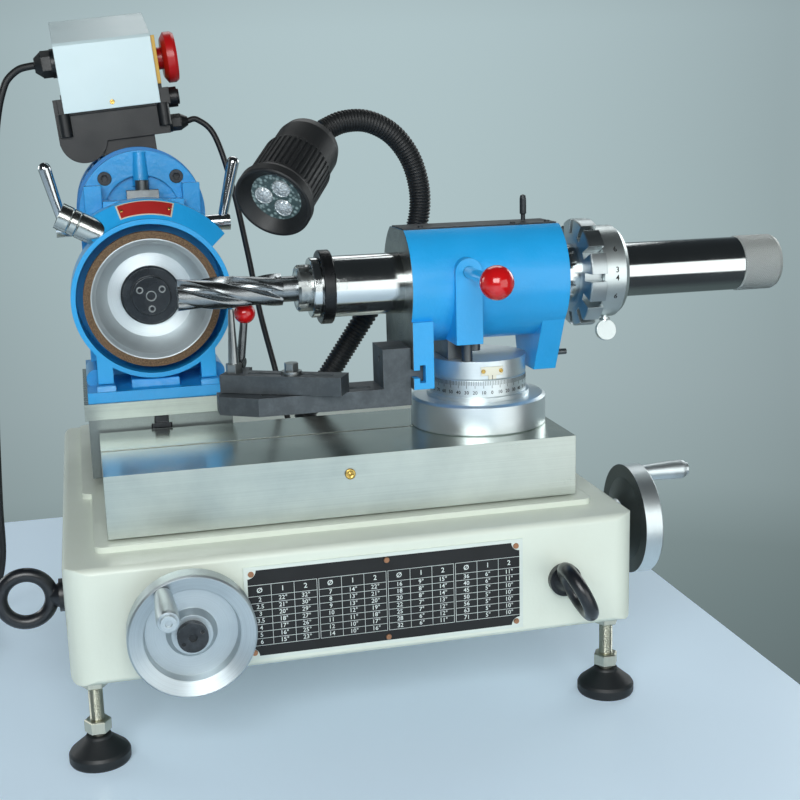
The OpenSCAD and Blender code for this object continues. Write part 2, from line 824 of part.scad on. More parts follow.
module rest_bar() {
    color(black) machine() at_rest_bolt() difference() {
        union() {
            block([bar_left, -bar_w / 2, bar_z0], [bar_left + bar_l, bar_w / 2, bar_z0 + bar_t]);
            // ear that carries the ball lever
            block([bar_left, bar_w / 2 - 1, bar_z0], [bar_left + 16, bar_w / 2 + 14, bar_z0 + bar_t]);
        }
        block([-40, -3.6, bar_z0 - 1], [bar_left + bar_l - 10, 3.6, bar_z0 + bar_t + 1]);
    }
}

module rest_finger() {
    color(dark) machine() at_rest_bolt() {
        // clamp bolt and washer
        translate([0, 0, rest_z0 + 2]) cylinder(h = bar_z0 + bar_t - rest_z0, r = 3.4);
        translate([0, 0, bar_z0 + bar_t]) cylinder(h = 3, r = 9);
        translate([0, 0, bar_z0 + bar_t + 3]) hex(11, 7);
        // finger and its hexagon
        translate([bar_left + finger_in, 0, bar_z0 + bar_t]) {
            hex(13, 8);
            cylinder(h = finger_top - bar_z0 - bar_t, r1 = 5, r2 = 2.4);
        }
    }
}

// ball lever behind the finger, on a short cross pin
lever_back = 8.3;
lever_side = 5;
lever_l = 36;

module at_rest_lever() {
    at_rest_bolt() translate([bar_left + 8, bar_w / 2 + 7, bar_z0 + bar_t + 5 + gap])
        rotate([-lever_back, lever_side, 0]) children();
}

module rest_lever() {
    color(dark) machine() at_rest_lever() {
        bar_x(4.6, -4, 4);
        cylinder(h = lever_l, r1 = 4, r2 = 3.4);
    }
}

module rest_ball() {
    color(red) machine() at_rest_lever() translate([0, 0, lever_l + 8.1]) difference() {
        sphere(9.5);
        translate([0, 0, -10.1]) cylinder(h = 2, r = 3.4);
    }
}

// wheelhead slide

module wheel_slide() {
    inner = slide_w / 2 - slide_wall;
    tee_neck = 13;
    tee_wide = 19;
    color([0.55, 0.56, 0.55]) machine() translate([head_x, 0, 0]) difference() {
        union() {
            block([-slide_w / 2, slide_y0, slide_z0], [slide_w / 2, slide_y0 + slide_l, slide_z1]);
            block([-13, nut_y, front_screw_z - 14], [13, nut_y + nut_l, rail_top + 1]);
        }
        for (s = [-1, 1])
            translate([s * (inner + 13 + gap) / 2, 0, 0])
                block([-(inner - 13 - gap) / 2, slide_y0 - 1, slide_z0 - 1],
                      [(inner - 13 - gap) / 2, slide_y0 + slide_l + 1, rail_top]);
        block([-14, slide_y0 - 1, slide_z0 - 1], [14, nut_y, rail_top]);
        block([-14, nut_y + nut_l, slide_z0 - 1], [14, slide_y0 + slide_l + 1, rail_top]);
        translate([0, 0, front_screw_z]) bar_y(screw_r + gap, nut_y - 1, nut_y + nut_l + 1);
        block([-tee_neck / 2, slide_y0 - 1, slide_z1 - 8],
              [tee_neck / 2, slide_y0 + slide_l + 1, slide_z1 + 1]);
        block([-tee_wide / 2, slide_y0 - 1, slide_z1 - 12],
              [tee_wide / 2, slide_y0 + slide_l + 1, slide_z1 - 7]);
    }
}

module head_plate() {
    color(steel) machine() difference() {
        block([head_x - slide_w / 2 - 3, slide_y0, slide_z1],
              [head_x + slide_w / 2 + 3, slide_y0 + slide_l - 6, plate_z1]);
        for (y = [slide_y0 + 10, slide_y0 + 110])
            translate([head_x, y, slide_z1 - 1]) cylinder(h = plate_t + 2, r = 5.2);
    }
}

foot_h = 10;
pad_h = 15;

// arched outline of the bracket, in x and z about the grinding axis
module arch(r) {
    translate([0, motor_rise]) circle(r);
    translate([-r, -wheel_rise]) square([2 * r, wheel_rise + motor_rise]);
}

rib_x_in = 38;
rib_t = 16;
rib_reach = 17;

module cover_rib() {
    translate([0, cover_y + 2, motor_z + 26]) cylinder(h = 34, r1 = 8, r2 = 6);
}

module wheel_bracket() {
    foot_w = slide_w - 2;
    foot_y0 = slide_y0 + 3;
    pad_in = 39;
    pad_w = 17;
    color(blue) machine() translate([head_x, 0, 0]) difference() {
        union() {
            block([-foot_w / 2, foot_y0, plate_z1],
                  [foot_w / 2, slide_y0 + slide_l - 10, plate_z1 + foot_h]);
            // pads under the guard legs, the middle pad and the end bosses
            for (s = [-1, 1])
                translate([s * (pad_in + pad_w / 2), 0, 0])
                    slab_x(-pad_w / 2, pad_w / 2, [[foot_y0, plate_z1], [foot_y0 + 3, plate_z1 + pad_h],
                        [foot_y0 + 24, plate_z1 + pad_h], [foot_y0 + 24, plate_z1]]);
            slab_x(-24, 20, [[foot_y0 + 8, plate_z1], [foot_y0 + 16, plate_z1 + 17],
                             [foot_y0 + 50, plate_z1 + 17], [foot_y0 + 50, plate_z1]]);
            for (s = [-1, 1]) translate([s * (foot_w / 2 - 9), 0, plate_z1 + foot_h + 6])
                bar_y(9, foot_y0 + 37, bracket_y + 1);
            // upright arch with its front flange and the bearing housing behind it
            translate([0, motor_y, wheel_z]) rotate([90, 0, 0]) linear_extrude(motor_y - bracket_y + 1)
                arch(flange_r - 4);
            translate([0, bracket_y, wheel_z]) rotate([90, 0, 0]) linear_extrude(bracket_y - cover_y)
                arch(flange_r - 2.5);
            translate([0, 0, wheel_z]) bar_y(13, motor_y - 1, motor_y + 34);
            intersection() {
                cover_rib();
                translate([0, cover_y + 6, wheel_z]) rotate([90, 0, 0])
                    linear_extrude(20) arch(flange_r - 4);
            }
            // two forward ribs that guide the guard
            for (s = [-1, 1]) translate([s * (rib_x_in + rib_t / 2), 0, 0])
                block([-rib_t / 2, cover_y - rib_reach, motor_z - 30],
                      [rib_t / 2, cover_y + 1, motor_z + 28]);
        }
        // round recess, kept clear of the upright rib
        difference() {
            translate([0, 0, motor_z]) bar_y(36, cover_y - 1, cover_y + 5);
            cover_rib();
        }
        translate([0, 0, wheel_z]) bar_y(12, cover_y - 1, bracket_y);
        translate([0, 0, wheel_z]) bar_y(10 + run, bracket_y - 1, motor_y + 30);
        // holes of the clamp levers and of the four flange screws
        translate([0, lever_y, lever_z]) bar_x(5 + run, rib_x_in - 1, rib_x_in + rib_t + 1);
        translate([0, lever_y, lever_z]) bar_x(5 + run, -rib_x_in - rib_t - 1, -rib_x_in + 1);
        for (x = [-1, 1], z = [-1, 1]) translate([flange_bolt * x, 0, motor_z + flange_bolt * z])
            bar_y(6.6, cover_y - rib_reach - 1, cover_y + 6);
    }
}

lever_y = cover_y - rib_reach / 2;
lever_z = motor_z - 11;
flange_bolt = 33.8;

module cap_screw(r, h) {
    difference() {
        cylinder(h = h, r = r);
        translate([0, 0, h - r * 0.7]) hex(r, r);
    }
}

module wheelhead_bolts() {
    color(dark) machine() translate([head_x, 0, 0]) {
        for (x = [-1, 1], z = [-1, 1]) translate([flange_bolt * x, cover_y + 6, motor_z + flange_bolt * z])
            rotate([90, 0, 0]) cap_screw(6.5, 5);
        // tee bolts that hold the plate to the slide
        for (y = [slide_y0 + 10, slide_y0 + 110]) {
            block([-8.5, y - 9, slide_z1 - 11.5], [8.5, y + 9, slide_z1 - 7.2]);
            block([-6, y - 6, slide_z1 - 8], [6, y + 6, slide_z1 - 0.2]);
            translate([0, y, slide_z1 - 1]) cylinder(h = plate_t + 0.5, r = 5);
        }
    }
}

fin_r = 60;

module motor() {
    fins = 40;
    color([0.10, 0.36, 0.62]) machine() translate([head_x, 0, motor_z]) {
        difference() {
            bar_y(flange_r, motor_y, motor_y + 8);
            translate([0, 0, -motor_rise]) bar_y(13.4, motor_y - 1, motor_y + 9);
        }
        translate([0, motor_y + 8 + motor_l - 20, 0]) rotate([90, 0, 0]) linear_extrude(motor_l - 20) {
            circle(54);
            for (k = [0 : fins - 1]) rotate(360 * k / fins) translate([50, -1.4]) square([fin_r - 50, 2.8]);
        }
        // fan cowl with slots in its end
        difference() {
            turn_y([[0, motor_y + motor_l - 12], [61, motor_y + motor_l - 12], [61, motor_y + motor_l + 20],
                    [56, motor_y + motor_l + 25], [0, motor_y + motor_l + 25]]);
            for (k = [0 : 15]) rotate([0, 360 * k / 16, 0])
                block([16, motor_y + motor_l + 21, -2], [44, motor_y + motor_l + 26, 2]);
        }
    }
}

// boxes on the motor, tied to the motor's top
box_x0 = head_x - 66;
box_x1 = head_x + 42;
box_y0 = motor_y + 8;
box_y1 = motor_y + 100;
box_z0 = motor_z + 71;
box_z1 = motor_z + 121;

// the boxes sit on the motor with a small roll about its axis, for solids and for single places
module on_motor() {
    translate([head_x, 0, motor_z]) rotate([0, -box_roll, 0]) translate([-head_x, 0, -motor_z]) children();
}
function on_motor_at(p) =
    let (x = p[0] - head_x, z = p[2] - motor_z)
    [head_x + x * cos(box_roll) - z * sin(box_roll), p[1], motor_z + x * sin(box_roll) + z * cos(box_roll)];

module terminal_box() {
    post_r = 6;
    color(black) machine() on_motor() {
        block([box_x0, box_y0, box_z0], [box_x1, box_y1, box_z1 - 6]);
        block([box_x0 + 4, box_y0 - 3, box_z1 - 22], [box_x1 + 4, box_y1, box_z1 - 6]);
        block([box_x0 + 8, box_y0, box_z1 - 6], [box_x1 - 2, box_y1 - 4, box_z1 - 2]);
        // round lobe that drops over the motor's shoulder
        translate([box_x0 + 23, 0, box_z0 + 4]) bar_y(23, box_y0, box_y1 - 20);
        // saddle down to the motor
        difference() {
            block([head_x - 26, box_y0 + 4, motor_z + 44], [head_x + 26, box_y1 - 6, box_z0 + 1]);
            translate([head_x, 0, motor_z]) bar_y(fin_r + 0.05, box_y0, box_y1);
        }
        for (x = [box_x0 + 8, box_x1 - 4])
            translate([x, box_y0 - 1, box_z0 + 8]) cylinder(h = switch_z0 - box_z0 - 8.5, r = post_r);
        // round blanking plug on the right side
        translate([0, box_y0 + 26, box_z1 - 16]) bar_x(10, box_x1, box_x1 + 13);
        translate([0, box_y0 + 26, box_z1 - 16]) bar_x(7.5, box_x1 + 12, box_x1 + 15);
    }
}

switch_x0 = head_x - 57;
switch_x1 = head_x + 36;
switch_y0 = motor_y + 6;
switch_y1 = motor_y + 82;
switch_z0 = box_z1 - 20;
switch_z1 = switch_z0 + 66;
stop_y = (switch_y0 + switch_y1) / 2 + 2;
stop_z = switch_z0 + 43;

module switch_box() {
    color([0.86, 0.89, 0.88]) machine() on_motor() difference() {
        union() {
            slab_x(switch_x0, switch_x1, [[switch_y0 - 6, switch_z0], [switch_y0 - 6, switch_z1 - 3],
                [switch_y0 - 3, switch_z1], [switch_y1, switch_z1 + 25], [switch_y1, switch_z0 + 18],
                [switch_y0 - 3.2, switch_z0 + 18], [switch_y0 - 3.2, switch_z0]]);
            // plates behind the stop button
            block([switch_x1, switch_y0 - 2, switch_z0 + 18], [switch_x1 + 4, switch_y1 - 4, switch_z1 - 2]);
        }
        translate([0, stop_y, stop_z]) bar_x(11.4, switch_x1 - 16, switch_x1 + 6);
    }
}

module cable_gland(r) {
    cylinder(h = 4, r = r);
    translate([0, 0, 4]) cylinder(h = 9, r = r * 0.94, $fn = 6);
    translate([0, 0, 13]) cylinder(h = 7, r1 = r * 0.9, r2 = r * 0.5);
}

gland_y = switch_y0 + 26;
gland_z = switch_z0 + 49;
gland2_y = box_y0 + 26;
gland2_z = box_z0 + 9;

module cable_glands() {
    color(black) machine() on_motor() {
        translate([switch_x0, gland_y, gland_z]) rotate([0, -90, 0]) cable_gland(14);
        translate([box_x1, gland2_y, gland2_z]) rotate([0, 90, 0]) cable_gland(9);
    }
}

module stop_button() {
    cap = switch_x1 + 4;
    color(red) machine() on_motor() translate([0, stop_y, stop_z]) turn_x([
        [0, switch_x1 - 8], [11, switch_x1 - 8], [11, cap + 7], [19, cap + 7], [25, cap + 11],
        [25, cap + 18], [23, cap + 21], [0, cap + 22.5]]);
}

// grinding wheel

module at_wheel() {
    translate([head_x, wheel_y, wheel_z]) children();
}

ring_w = 6.5;
ring_h = 10;

module wheel_dish() {
    back = wheel_depth;
    color(alloy) machine() at_wheel() turn_y([
        [10, back - 12], [wheel_r - 22.5, back - 12], [wheel_r - 11.5, 7], [wheel_r - ring_w - 1, 1],
        [wheel_r - ring_w, 1], [wheel_r - ring_w, ring_h], [wheel_r - 0.5, ring_h],
        [wheel_r - 0.5, ring_h + 3], [wheel_r - 16, back], [10, back]]);
}

module wheel_abrasive() {
    color([0.45, 0.33, 0.22]) machine() at_wheel() turn_y([
        [wheel_r - ring_w, 0], [wheel_r, 0], [wheel_r, ring_h], [wheel_r - ring_w, ring_h]]);
}

module wheel_hub() {
    seat = wheel_depth - 12;
    color(dark) machine() at_wheel() {
        difference() {
            turn_y([[0, seat - 9], [17.5, seat - 9], [18.5, seat - 8], [18.5, seat - 5], [26, seat - 5],
                    [28, seat - 3], [28, seat], [10, seat], [10, bracket_y + 55 - wheel_y],
                    [0, bracket_y + 55 - wheel_y]]);
            bar_y(4, seat - 10, seat - 6);
        }
        turn_y([[10, wheel_depth], [20, wheel_depth], [20, wheel_depth + 6], [10, wheel_depth + 6]]);
        for (a = [90, 210, 330]) rotate([0, a, 0]) translate([12, seat - 8.6, 0])
            rotate([90, 0, 0]) cap_screw(3.4, 2);
    }
}

// guard round the wheel, sliding along its axis

guard_y0 = wheel_y + 2;
guard_y1 = wheel_y + wheel_depth + 8;
strap_y1 = cover_y - 24;
tongue_w = 75.2;
// bore of the guard's back plate, which the cup passes when the guard slides; the tongue stays above it
guard_bore = wheel_r - 9.5;
tongue_z0 = wheel_z + guard_bore;
tongue_z1 = motor_z + 14;

module guard() {
    leg_in = 40.5;
    leg_w = 14;
    inner = guard_r - guard_wall;
    color(blue) machine() translate([head_x, 0, wheel_z]) difference() {
        union() {
            turn_y([[inner, guard_y0], [guard_r, guard_y0], [guard_r, guard_y1],
                    [guard_bore, guard_y1], [guard_bore, guard_y1 - 4], [inner, guard_y1 - 4]]);
            // sloping strap over the top
            rotate([-90, 0, 0]) rotate([0, 0, -132]) rotate_extrude(angle = 94)
                polygon([[guard_r - 1, guard_y0 + 4], [guard_r + 17, guard_y0 + 17],
                         [guard_r + 17, strap_y1], [guard_r - 1, strap_y1]]);
            // tongue between the guide ribs of the cover
            block([-tongue_w / 2, strap_y1 - 6, tongue_z0 - wheel_z],
                  [tongue_w / 2, cover_y - 5, tongue_z1 - wheel_z]);
            // legs over the bracket's pads
            for (s = [-1, 1]) translate([s * (leg_in + leg_w / 2), 0, 0])
                block([-leg_w / 2, guard_y0, plate_z1 + pad_h + 0.6 - wheel_z],
                      [leg_w / 2, guard_y0 + 18, -40]);
        }
        bar_y(inner, guard_y0 - 1, guard_y1 - 4);
        spigot_axis() translate([0, 0, -30]) cylinder(h = 60, r = spigot_r + 0.02);
    }
}

// spigot leaves the upper left of the guard
module spigot_axis() {
    a = 124;
    lean = 152;
    translate([(guard_r - 3) * cos(a), guard_y0 + 17, (guard_r - 3) * sin(a)])
        rotate([0, 90 - lean, 0]) children();
}

module dust_spigot() {
    groove = 0.7;
    color(steel) machine() translate([head_x, 0, wheel_z]) difference() {
        spigot_axis() rotate_extrude() polygon([
            [spigot_r - 2.3, -16], [spigot_r, -16], [spigot_r, spigot_l * 0.55],
            [spigot_r - groove, spigot_l * 0.55 + 1], [spigot_r, spigot_l * 0.55 + 2],
            [spigot_r, spigot_l * 0.72], [spigot_r - groove, spigot_l * 0.72 + 1],
            [spigot_r, spigot_l * 0.72 + 2], [spigot_r, spigot_l], [spigot_r - 2.3, spigot_l]]);
        bar_y(guard_r - guard_wall, guard_y0 - 30, guard_y1 + 30);
    }
}

module clamp_block() {
    color(dark) machine() translate([head_x, 0, tongue_z1]) {
        slab_x(-15, 15, [[strap_y1 + 0.3, 0], [strap_y1 + 1.5, 9], [strap_y1 + 15, 9], [strap_y1 + 15, 0]]);
        translate([0, strap_y1 + 7.6, 9]) cap_screw(6.4, 9);
    }
}

// clamp lever: the screw runs along +X toward the guard's tongue, the arm stands up
module clamp_lever() {
    reach = rib_x_in + rib_t;
    bar_x(5, -reach - 4, -rib_x_in - 0.2);
    bar_x(8, -reach - 28, -reach - 1, 7);
    translate([-reach - 20, 0, 0]) rotate([0, -14, 0]) {
        cylinder(h = 58, r1 = 4.4, r2 = 6);
        translate([0, 0, 58]) sphere(6);
    }
}

module lever_left() {
    color(steel) machine() translate([head_x, lever_y, lever_z]) clamp_lever();
}

module lever_right() {
    color(steel) machine() translate([head_x, lever_y, lever_z]) mirror([1, 0, 0]) clamp_lever();
}

// lamp on a flexible neck behind the table

lamp_x = -5;
lamp_y = table_back + 41;
lamp_base_h = 26;
neck_start = [lamp_x, lamp_y, base_z1 + lamp_base_h];
lamp_axis = [-0.50, -0.70, -0.51];
lamp_pivot = [12, lamp_y - 34, 495];
ball_r = 8;

neck_route = [
    neck_start,
    neck_start + [0, 0, 22],
    [6, lamp_y, 243],
    [22, lamp_y, 265],
    [38, lamp_y, 288],
    [54, lamp_y, 311],
    [76, lamp_y, 342],
    [98, lamp_y, 374],
    [112, lamp_y, 400],
    [117, lamp_y - 1, 425],
    [114, lamp_y - 4, 450],
    [104, lamp_y - 8, 474],
    [86, lamp_y - 14, 494],
    [62, lamp_y - 21, 505],
    [38, lamp_y - 27, 505],
    lamp_pivot - (ball_r - 1) * unit([-26, -7, -10])
];

module lamp_base() {
    color(black) machine() translate([lamp_x, lamp_y, base_z1]) difference() {
        rotate_extrude() polygon([[0, 0], [22, 0], [22, 5], [17, 8], [16, lamp_base_h - 3],
                                  [14, lamp_base_h], [0, lamp_base_h]]);
        translate([0, 0, lamp_base_h - 2]) cylinder(h = 3, r = neck_r + 0.3);
    }
}

module lamp_neck() {
    steps = neck_ribs * 2;
    last = len(neck_route) - 1;
    middle = [for (i = [1 : last - 1]) neck_route[i]];
    path = curve(concat([neck_start - [0, 0, 1.9]], middle, [neck_route[last]]), steps);
    bore_path = curve(concat([neck_start - [0, 0, 4]], middle,
        [neck_route[last] + 3 * unit([-26, -7, -10])]), 40);
    color(black) machine() difference() {
        tube(path, [for (i = [0 : steps]) i % 2 == 0 ? neck_r : neck_r - 1.5], 8);
        tube(bore_path, [for (i = [0 : 40]) 5], 6);
    }
}

module at_lamp() {
    d = unit(lamp_axis);
    translate(lamp_pivot) rotate([0, acos(d[2]), atan2(d[1], d[0])]) children();
}

lamp_back = 9;
lamp_front = lamp_back + lamp_l;
lens_r = 23;

module lamp_head() {
    flutes = 40;
    ribbed_r = lamp_r - 3;
    color(black) machine() at_lamp() difference() {
        union() {
            sphere(ball_r);
            cylinder(h = 14, r = 5);
            rotate_extrude() polygon([
                [0, lamp_back], [13, lamp_back], [22, 12], [27.5, 18], [29.5, 26], [29.5, 50], [ribbed_r, 52],
                [ribbed_r, lamp_front - 14], [lamp_r, lamp_front - 9], [lamp_r, lamp_front - 1],
                [lamp_r - 1, lamp_front], [0, lamp_front]]);
        }
        for (k = [0 : flutes - 1]) rotate([0, 0, 360 * k / flutes])
            translate([ribbed_r + 0.3, 0, 54]) cylinder(h = lamp_front - 70, r = 1.3, $fn = 12);
        translate([0, 0, lamp_front - 13]) cylinder(h = 14, r = lens_r);
        translate([0, 0, lamp_front - 9]) cylinder(h = 10, r1 = lens_r, r2 = lamp_r - 2);
    }
}

module lamp_lens() {
    color([0.85, 0.88, 0.86]) machine() at_lamp() difference() {
        translate([0, 0, lamp_front - 13]) cylinder(h = 4, r = lens_r);
        for (a = [0, 120, 240]) rotate([0, 0, a + 20])
            translate([11.5, 0, lamp_front - 10.5]) cylinder(h = 3, r = 8.5);
    }
}

// free mains lead: it drops to the bench beside the machine and ends in a tied coil

lead_r = 3.5;
lead_start = on_motor_at([switch_x0 - 20, gland_y, gland_z]);
coil_r = 49;
coil_pitch = 8;
coil_turns = 4.25;
coil_z = lead_r + 0.1;
coil_at = [lead_start[0] - 137, gland_y - coil_r];

lead_route = [
    lead_start,
    lead_start + [-4, 0, -0.4],
    lead_start + [-15, 0, -3.2],
    lead_start + [-25, 0, -11],
    lead_start + [-30.5, 0, -20],
    lead_start + [-37, 0, -40],
    lead_start + [-43, 0, -72],
    lead_start + [-50, 0, -130],
    lead_start + [-57, 0, -200],
    lead_start + [-63, 0, -280],
    lead_start + [-68, 0, -360],
    lead_start + [-72, 0, -440],
    lead_start + [-74, 0, -496],
    [lead_start[0] - 84, gland_y, 34],
    [lead_start[0] - 101, gland_y, 12],
    [lead_start[0] - 120, gland_y, coil_z + 0.4],
    [coil_at[0], gland_y, coil_z]
];

// the coil winds inward on the bench, steps up by one lead and winds out again
function coil_point(t) =
    let (r = t < 2 ? coil_r - coil_pitch * t : coil_r + coil_pitch * (t - 4),
         a = 90 + 360 * t,
         up = min(max((t - 1.75) / 0.5, 0), 1))
    [coil_at[0] + r * cos(a), coil_at[1] + r * sin(a), coil_z + up * (2 * lead_r + 0.6)];
coil_end = coil_point(coil_turns);
plug_at = coil_end + [-0.6, -40, -0.4];

module mains_lead() {
    path = curve(lead_route, 44);
    color(black) machine() tube(path, [for (p = path) lead_r], 8);
}

module mains_coil() {
    loops = [for (k = [0 : 24 * coil_turns]) coil_point(k / 24)];
    path = concat(loops, [coil_end + [-0.4, -13, 0], coil_end + [-0.6, -26, -0.2], plug_at]);
    echo(least_gap_between_turns = min(coil_pitch, 2 * lead_r + 0.6) - 2 * lead_r);
    color(black) machine() tube(path, [for (p = path) lead_r], 6);
}

module mains_plug() {
    color(black) machine() translate(plug_at - [0, 0.3, 0]) rotate([90, 0, 0]) {
        cylinder(h = 16, r1 = 4.5, r2 = 9);
        translate([0, 0, 15]) cylinder(h = 22, r = 10);
        for (s = [-1, 1]) translate([s * 5, 0, 36]) cylinder(h = 16, r = 2);
    }
}

cable_start = on_motor_at([box_x1 + 20.2, gland2_y, gland2_z]);

cable_route = [
    cable_start,
    cable_start + [10, 0, 0.6],
    cable_start + [26, -4, -16],
    cable_start + [40, -12, -66],
    cable_start + [50, -26, -130],
    cable_start + [58, -44, -194],
    [-24, lamp_y + 60, 264],
    [-18, lamp_y + 54, 230],
    [-13, lamp_y + 50, 206],
    [-8, lamp_y + 41, base_z1 + 19],
    [lamp_x, lamp_y + 30, base_z1 + 14.3],
    [lamp_x, lamp_y + 16.9, base_z1 + 14]
];

module lamp_cable() {
    path = curve(cable_route, 44);
    color(black) machine() tube(path, [for (p = path) 3], 8);
}

base_casting();
foot_pads();
foot_studs();
eyebolts();
chart_plate();
screw_bearings();
bed_ways();
front_wheel();
front_handle();
front_screw();
side_wheel();
side_handle();
side_screw();
table();
dial_foot();
dial_ring();
dial_top();
head_pedestal();
head_casting();
head_top_plate();
plunger_rod();
plunger_ball();
toggle_lever();
scale_ring();
thumb_screw();
quill();
nose_collar();
end_mill();
index_wheel();
drawbar_knob();
rest_arm();
rest_bar();
rest_finger();
rest_lever();
rest_ball();
wheel_slide();
head_plate();
wheel_bracket();
wheelhead_bolts();
motor();
terminal_box();
switch_box();
cable_glands();
stop_button();
wheel_dish();
wheel_abrasive();
wheel_hub();
guard();
clamp_block();
dust_spigot();
lever_left();
lever_right();
lamp_base();
lamp_neck();
lamp_head();
lamp_lens();
mains_lead();
mains_coil();
mains_plug();
lamp_cable();
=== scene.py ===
import math

import bmesh
import bpy
from mathutils import Matrix, Vector


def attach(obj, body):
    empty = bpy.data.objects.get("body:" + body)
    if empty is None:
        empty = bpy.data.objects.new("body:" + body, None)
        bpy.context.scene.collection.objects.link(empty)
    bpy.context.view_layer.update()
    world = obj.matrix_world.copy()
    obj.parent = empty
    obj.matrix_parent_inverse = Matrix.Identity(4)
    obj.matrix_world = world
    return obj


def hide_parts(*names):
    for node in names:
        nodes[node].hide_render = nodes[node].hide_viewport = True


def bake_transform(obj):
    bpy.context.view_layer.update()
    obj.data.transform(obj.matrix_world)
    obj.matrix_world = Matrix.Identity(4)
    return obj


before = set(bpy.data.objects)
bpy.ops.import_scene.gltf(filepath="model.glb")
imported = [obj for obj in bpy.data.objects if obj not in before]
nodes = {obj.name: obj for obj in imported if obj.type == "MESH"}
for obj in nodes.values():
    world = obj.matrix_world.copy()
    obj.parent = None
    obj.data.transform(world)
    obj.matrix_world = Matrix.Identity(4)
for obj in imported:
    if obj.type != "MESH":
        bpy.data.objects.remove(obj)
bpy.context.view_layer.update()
scene = bpy.context.scene

# Places and sizes are in mm from the base's front centre on the bench, as in the part's source.
SHIFT = (-67.2, -230.75)  # from there to the row frame
DIAL = (139, 134)  # x and y of the upright axis that the workhead swivels on
SPINDLE = (*DIAL, 364.3)  # point on the spindle's axis, which runs along x
WHEEL = (-145, 222, 350)  # point on the grinding wheel's axis, which runs along y
FRONT_WHEEL = (-145, 0, 123)  # point on the front handwheel's axis
SIDE_WHEEL = (240, 80, 141)  # point on the side handwheel's axis
OILER = (0, 50, 216.1)  # seat of the oiler in the table's front
BRASS_MIDDLE = (0, 50, 216)  # middle of the rings in the look of brass
BOX = (-145, 424)  # x and z of the line that the switch box is rolled about
BOX_ROLL = math.radians(5.5)
FORWARD = (0, -1, 0)


def at(x, y, z):
    """Point in the row frame, in metres."""
    return Vector(((x + SHIFT[0]) / 1000, (y + SHIFT[1]) / 1000, z / 1000))


def round_z(angle):
    """Directions away from and round an upright axis, at an angle in degrees."""
    a = math.radians(angle)
    return Vector((math.cos(a), math.sin(a), 0)), Vector((-math.sin(a), math.cos(a), 0))


def lin(r, g, b):
    """Linear colour from 8-bit screen values."""
    def one(v):
        v /= 255
        return v / 12.92 if v <= 0.04045 else ((v + 0.055) / 1.055) ** 2.4
    return (one(r), one(g), one(b), 1.0)


# camera


def set_camera():
    """Camera fitted to the photograph; its roll carries the tilt of the photographed machine."""
    place = at(-204.9, -982.4, 512.75)
    focal, sensor, far = 58.24, 36, 50
    yaw, pitch, roll = (math.radians(angle) for angle in (13.6, 12.55, 1.54))
    forward = Vector((math.sin(yaw) * math.cos(pitch), math.cos(yaw) * math.cos(pitch), -math.sin(pitch)))
    right = Vector((math.cos(yaw), -math.sin(yaw), 0))
    down = forward.cross(right)
    rolled_right = math.cos(roll) * right + math.sin(roll) * down
    rolled_down = -math.sin(roll) * right + math.cos(roll) * down
    data = bpy.data.cameras.new("camera")
    data.sensor_width = sensor
    data.lens = focal
    data.clip_end = far
    cam = bpy.data.objects.new("camera", data)
    scene.collection.objects.link(cam)
    m = Matrix((rolled_right, -rolled_down, -forward)).transposed().to_4x4()
    m.translation = place
    cam.matrix_world = m
    scene.camera = cam


set_camera()

# small node-tree helpers


def put(tree, socket, value):
    """Link another node's socket to this one, or set it to a constant."""
    if isinstance(value, bpy.types.NodeSocket):
        tree.links.new(value, socket)
    else:
        socket.default_value = value


def add(tree, kind, props=None, **inputs):
    """New node; its inputs are given by name, or by number as i0, i1 and so on."""
    n = tree.nodes.new(kind)
    for key, value in (props or {}).items():
        setattr(n, key, value)
    for key, value in inputs.items():
        numbered = key[0] == "i" and key[1:].isdigit()
        put(tree, n.inputs[int(key[1:]) if numbered else key], value)
    return n


def coords(tree):
    """Place in the row frame, in metres."""
    return add(tree, "ShaderNodeTexCoord").outputs["Object"]


def normal(tree):
    return add(tree, "ShaderNodeNewGeometry").outputs["Normal"]


def split(tree, vector):
    """The X, Y and Z of a vector."""
    return add(tree, "ShaderNodeSeparateXYZ", None, Vector=vector).outputs


def dot(tree, a, b):
    return add(tree, "ShaderNodeVectorMath", {"operation": "DOT_PRODUCT"}, i0=a, i1=b).outputs["Value"]


def noise(tree, scale, detail, rough=0.5, vector=None):
    n = add(tree, "ShaderNodeTexNoise", None, Scale=scale, Detail=detail, Roughness=rough)
    put(tree, n.inputs["Vector"], vector if vector is not None else coords(tree))
    return n.outputs["Fac"]


def line_noise(tree, place):
    """Noise along one direction only, for turned rings."""
    n = add(tree, "ShaderNodeTexNoise", {"noise_dimensions": "1D"}, W=place, Scale=1.0, Detail=3.0)
    return n.outputs["Fac"]


def cells(tree, scale):
    """Distance from the nearest of scattered points."""
    return add(tree, "ShaderNodeTexVoronoi", None, Vector=coords(tree), Scale=scale).outputs["Distance"]


def spread(tree, value, low, high, out_low, out_high):
    """Value carried from one range to another and held at its ends."""
    return add(tree, "ShaderNodeMapRange", None, Value=value, i1=low, i2=high, i3=out_low,
               i4=out_high).outputs["Result"]


def mask(tree, value, low, high):
    """0 where the value is at low, 1 where it is at high."""
    return spread(tree, value, low, high, 0, 1)


def calc(tree, op, a, b=0.0):
    return add(tree, "ShaderNodeMath", {"operation": op}, i0=a, i1=b).outputs[0]


def plus(tree, a, b):
    return calc(tree, "ADD", a, b)


def minus(tree, a, b):
    return calc(tree, "SUBTRACT", a, b)


def times(tree, a, b):
    return calc(tree, "MULTIPLY", a, b)


def mix(tree, share, a, b):
    """Colour a, going over to colour b as the share goes from 0 to 1."""
    return add(tree, "ShaderNodeMix", {"data_type": "RGBA"}, i0=share, i6=a, i7=b).outputs[2]


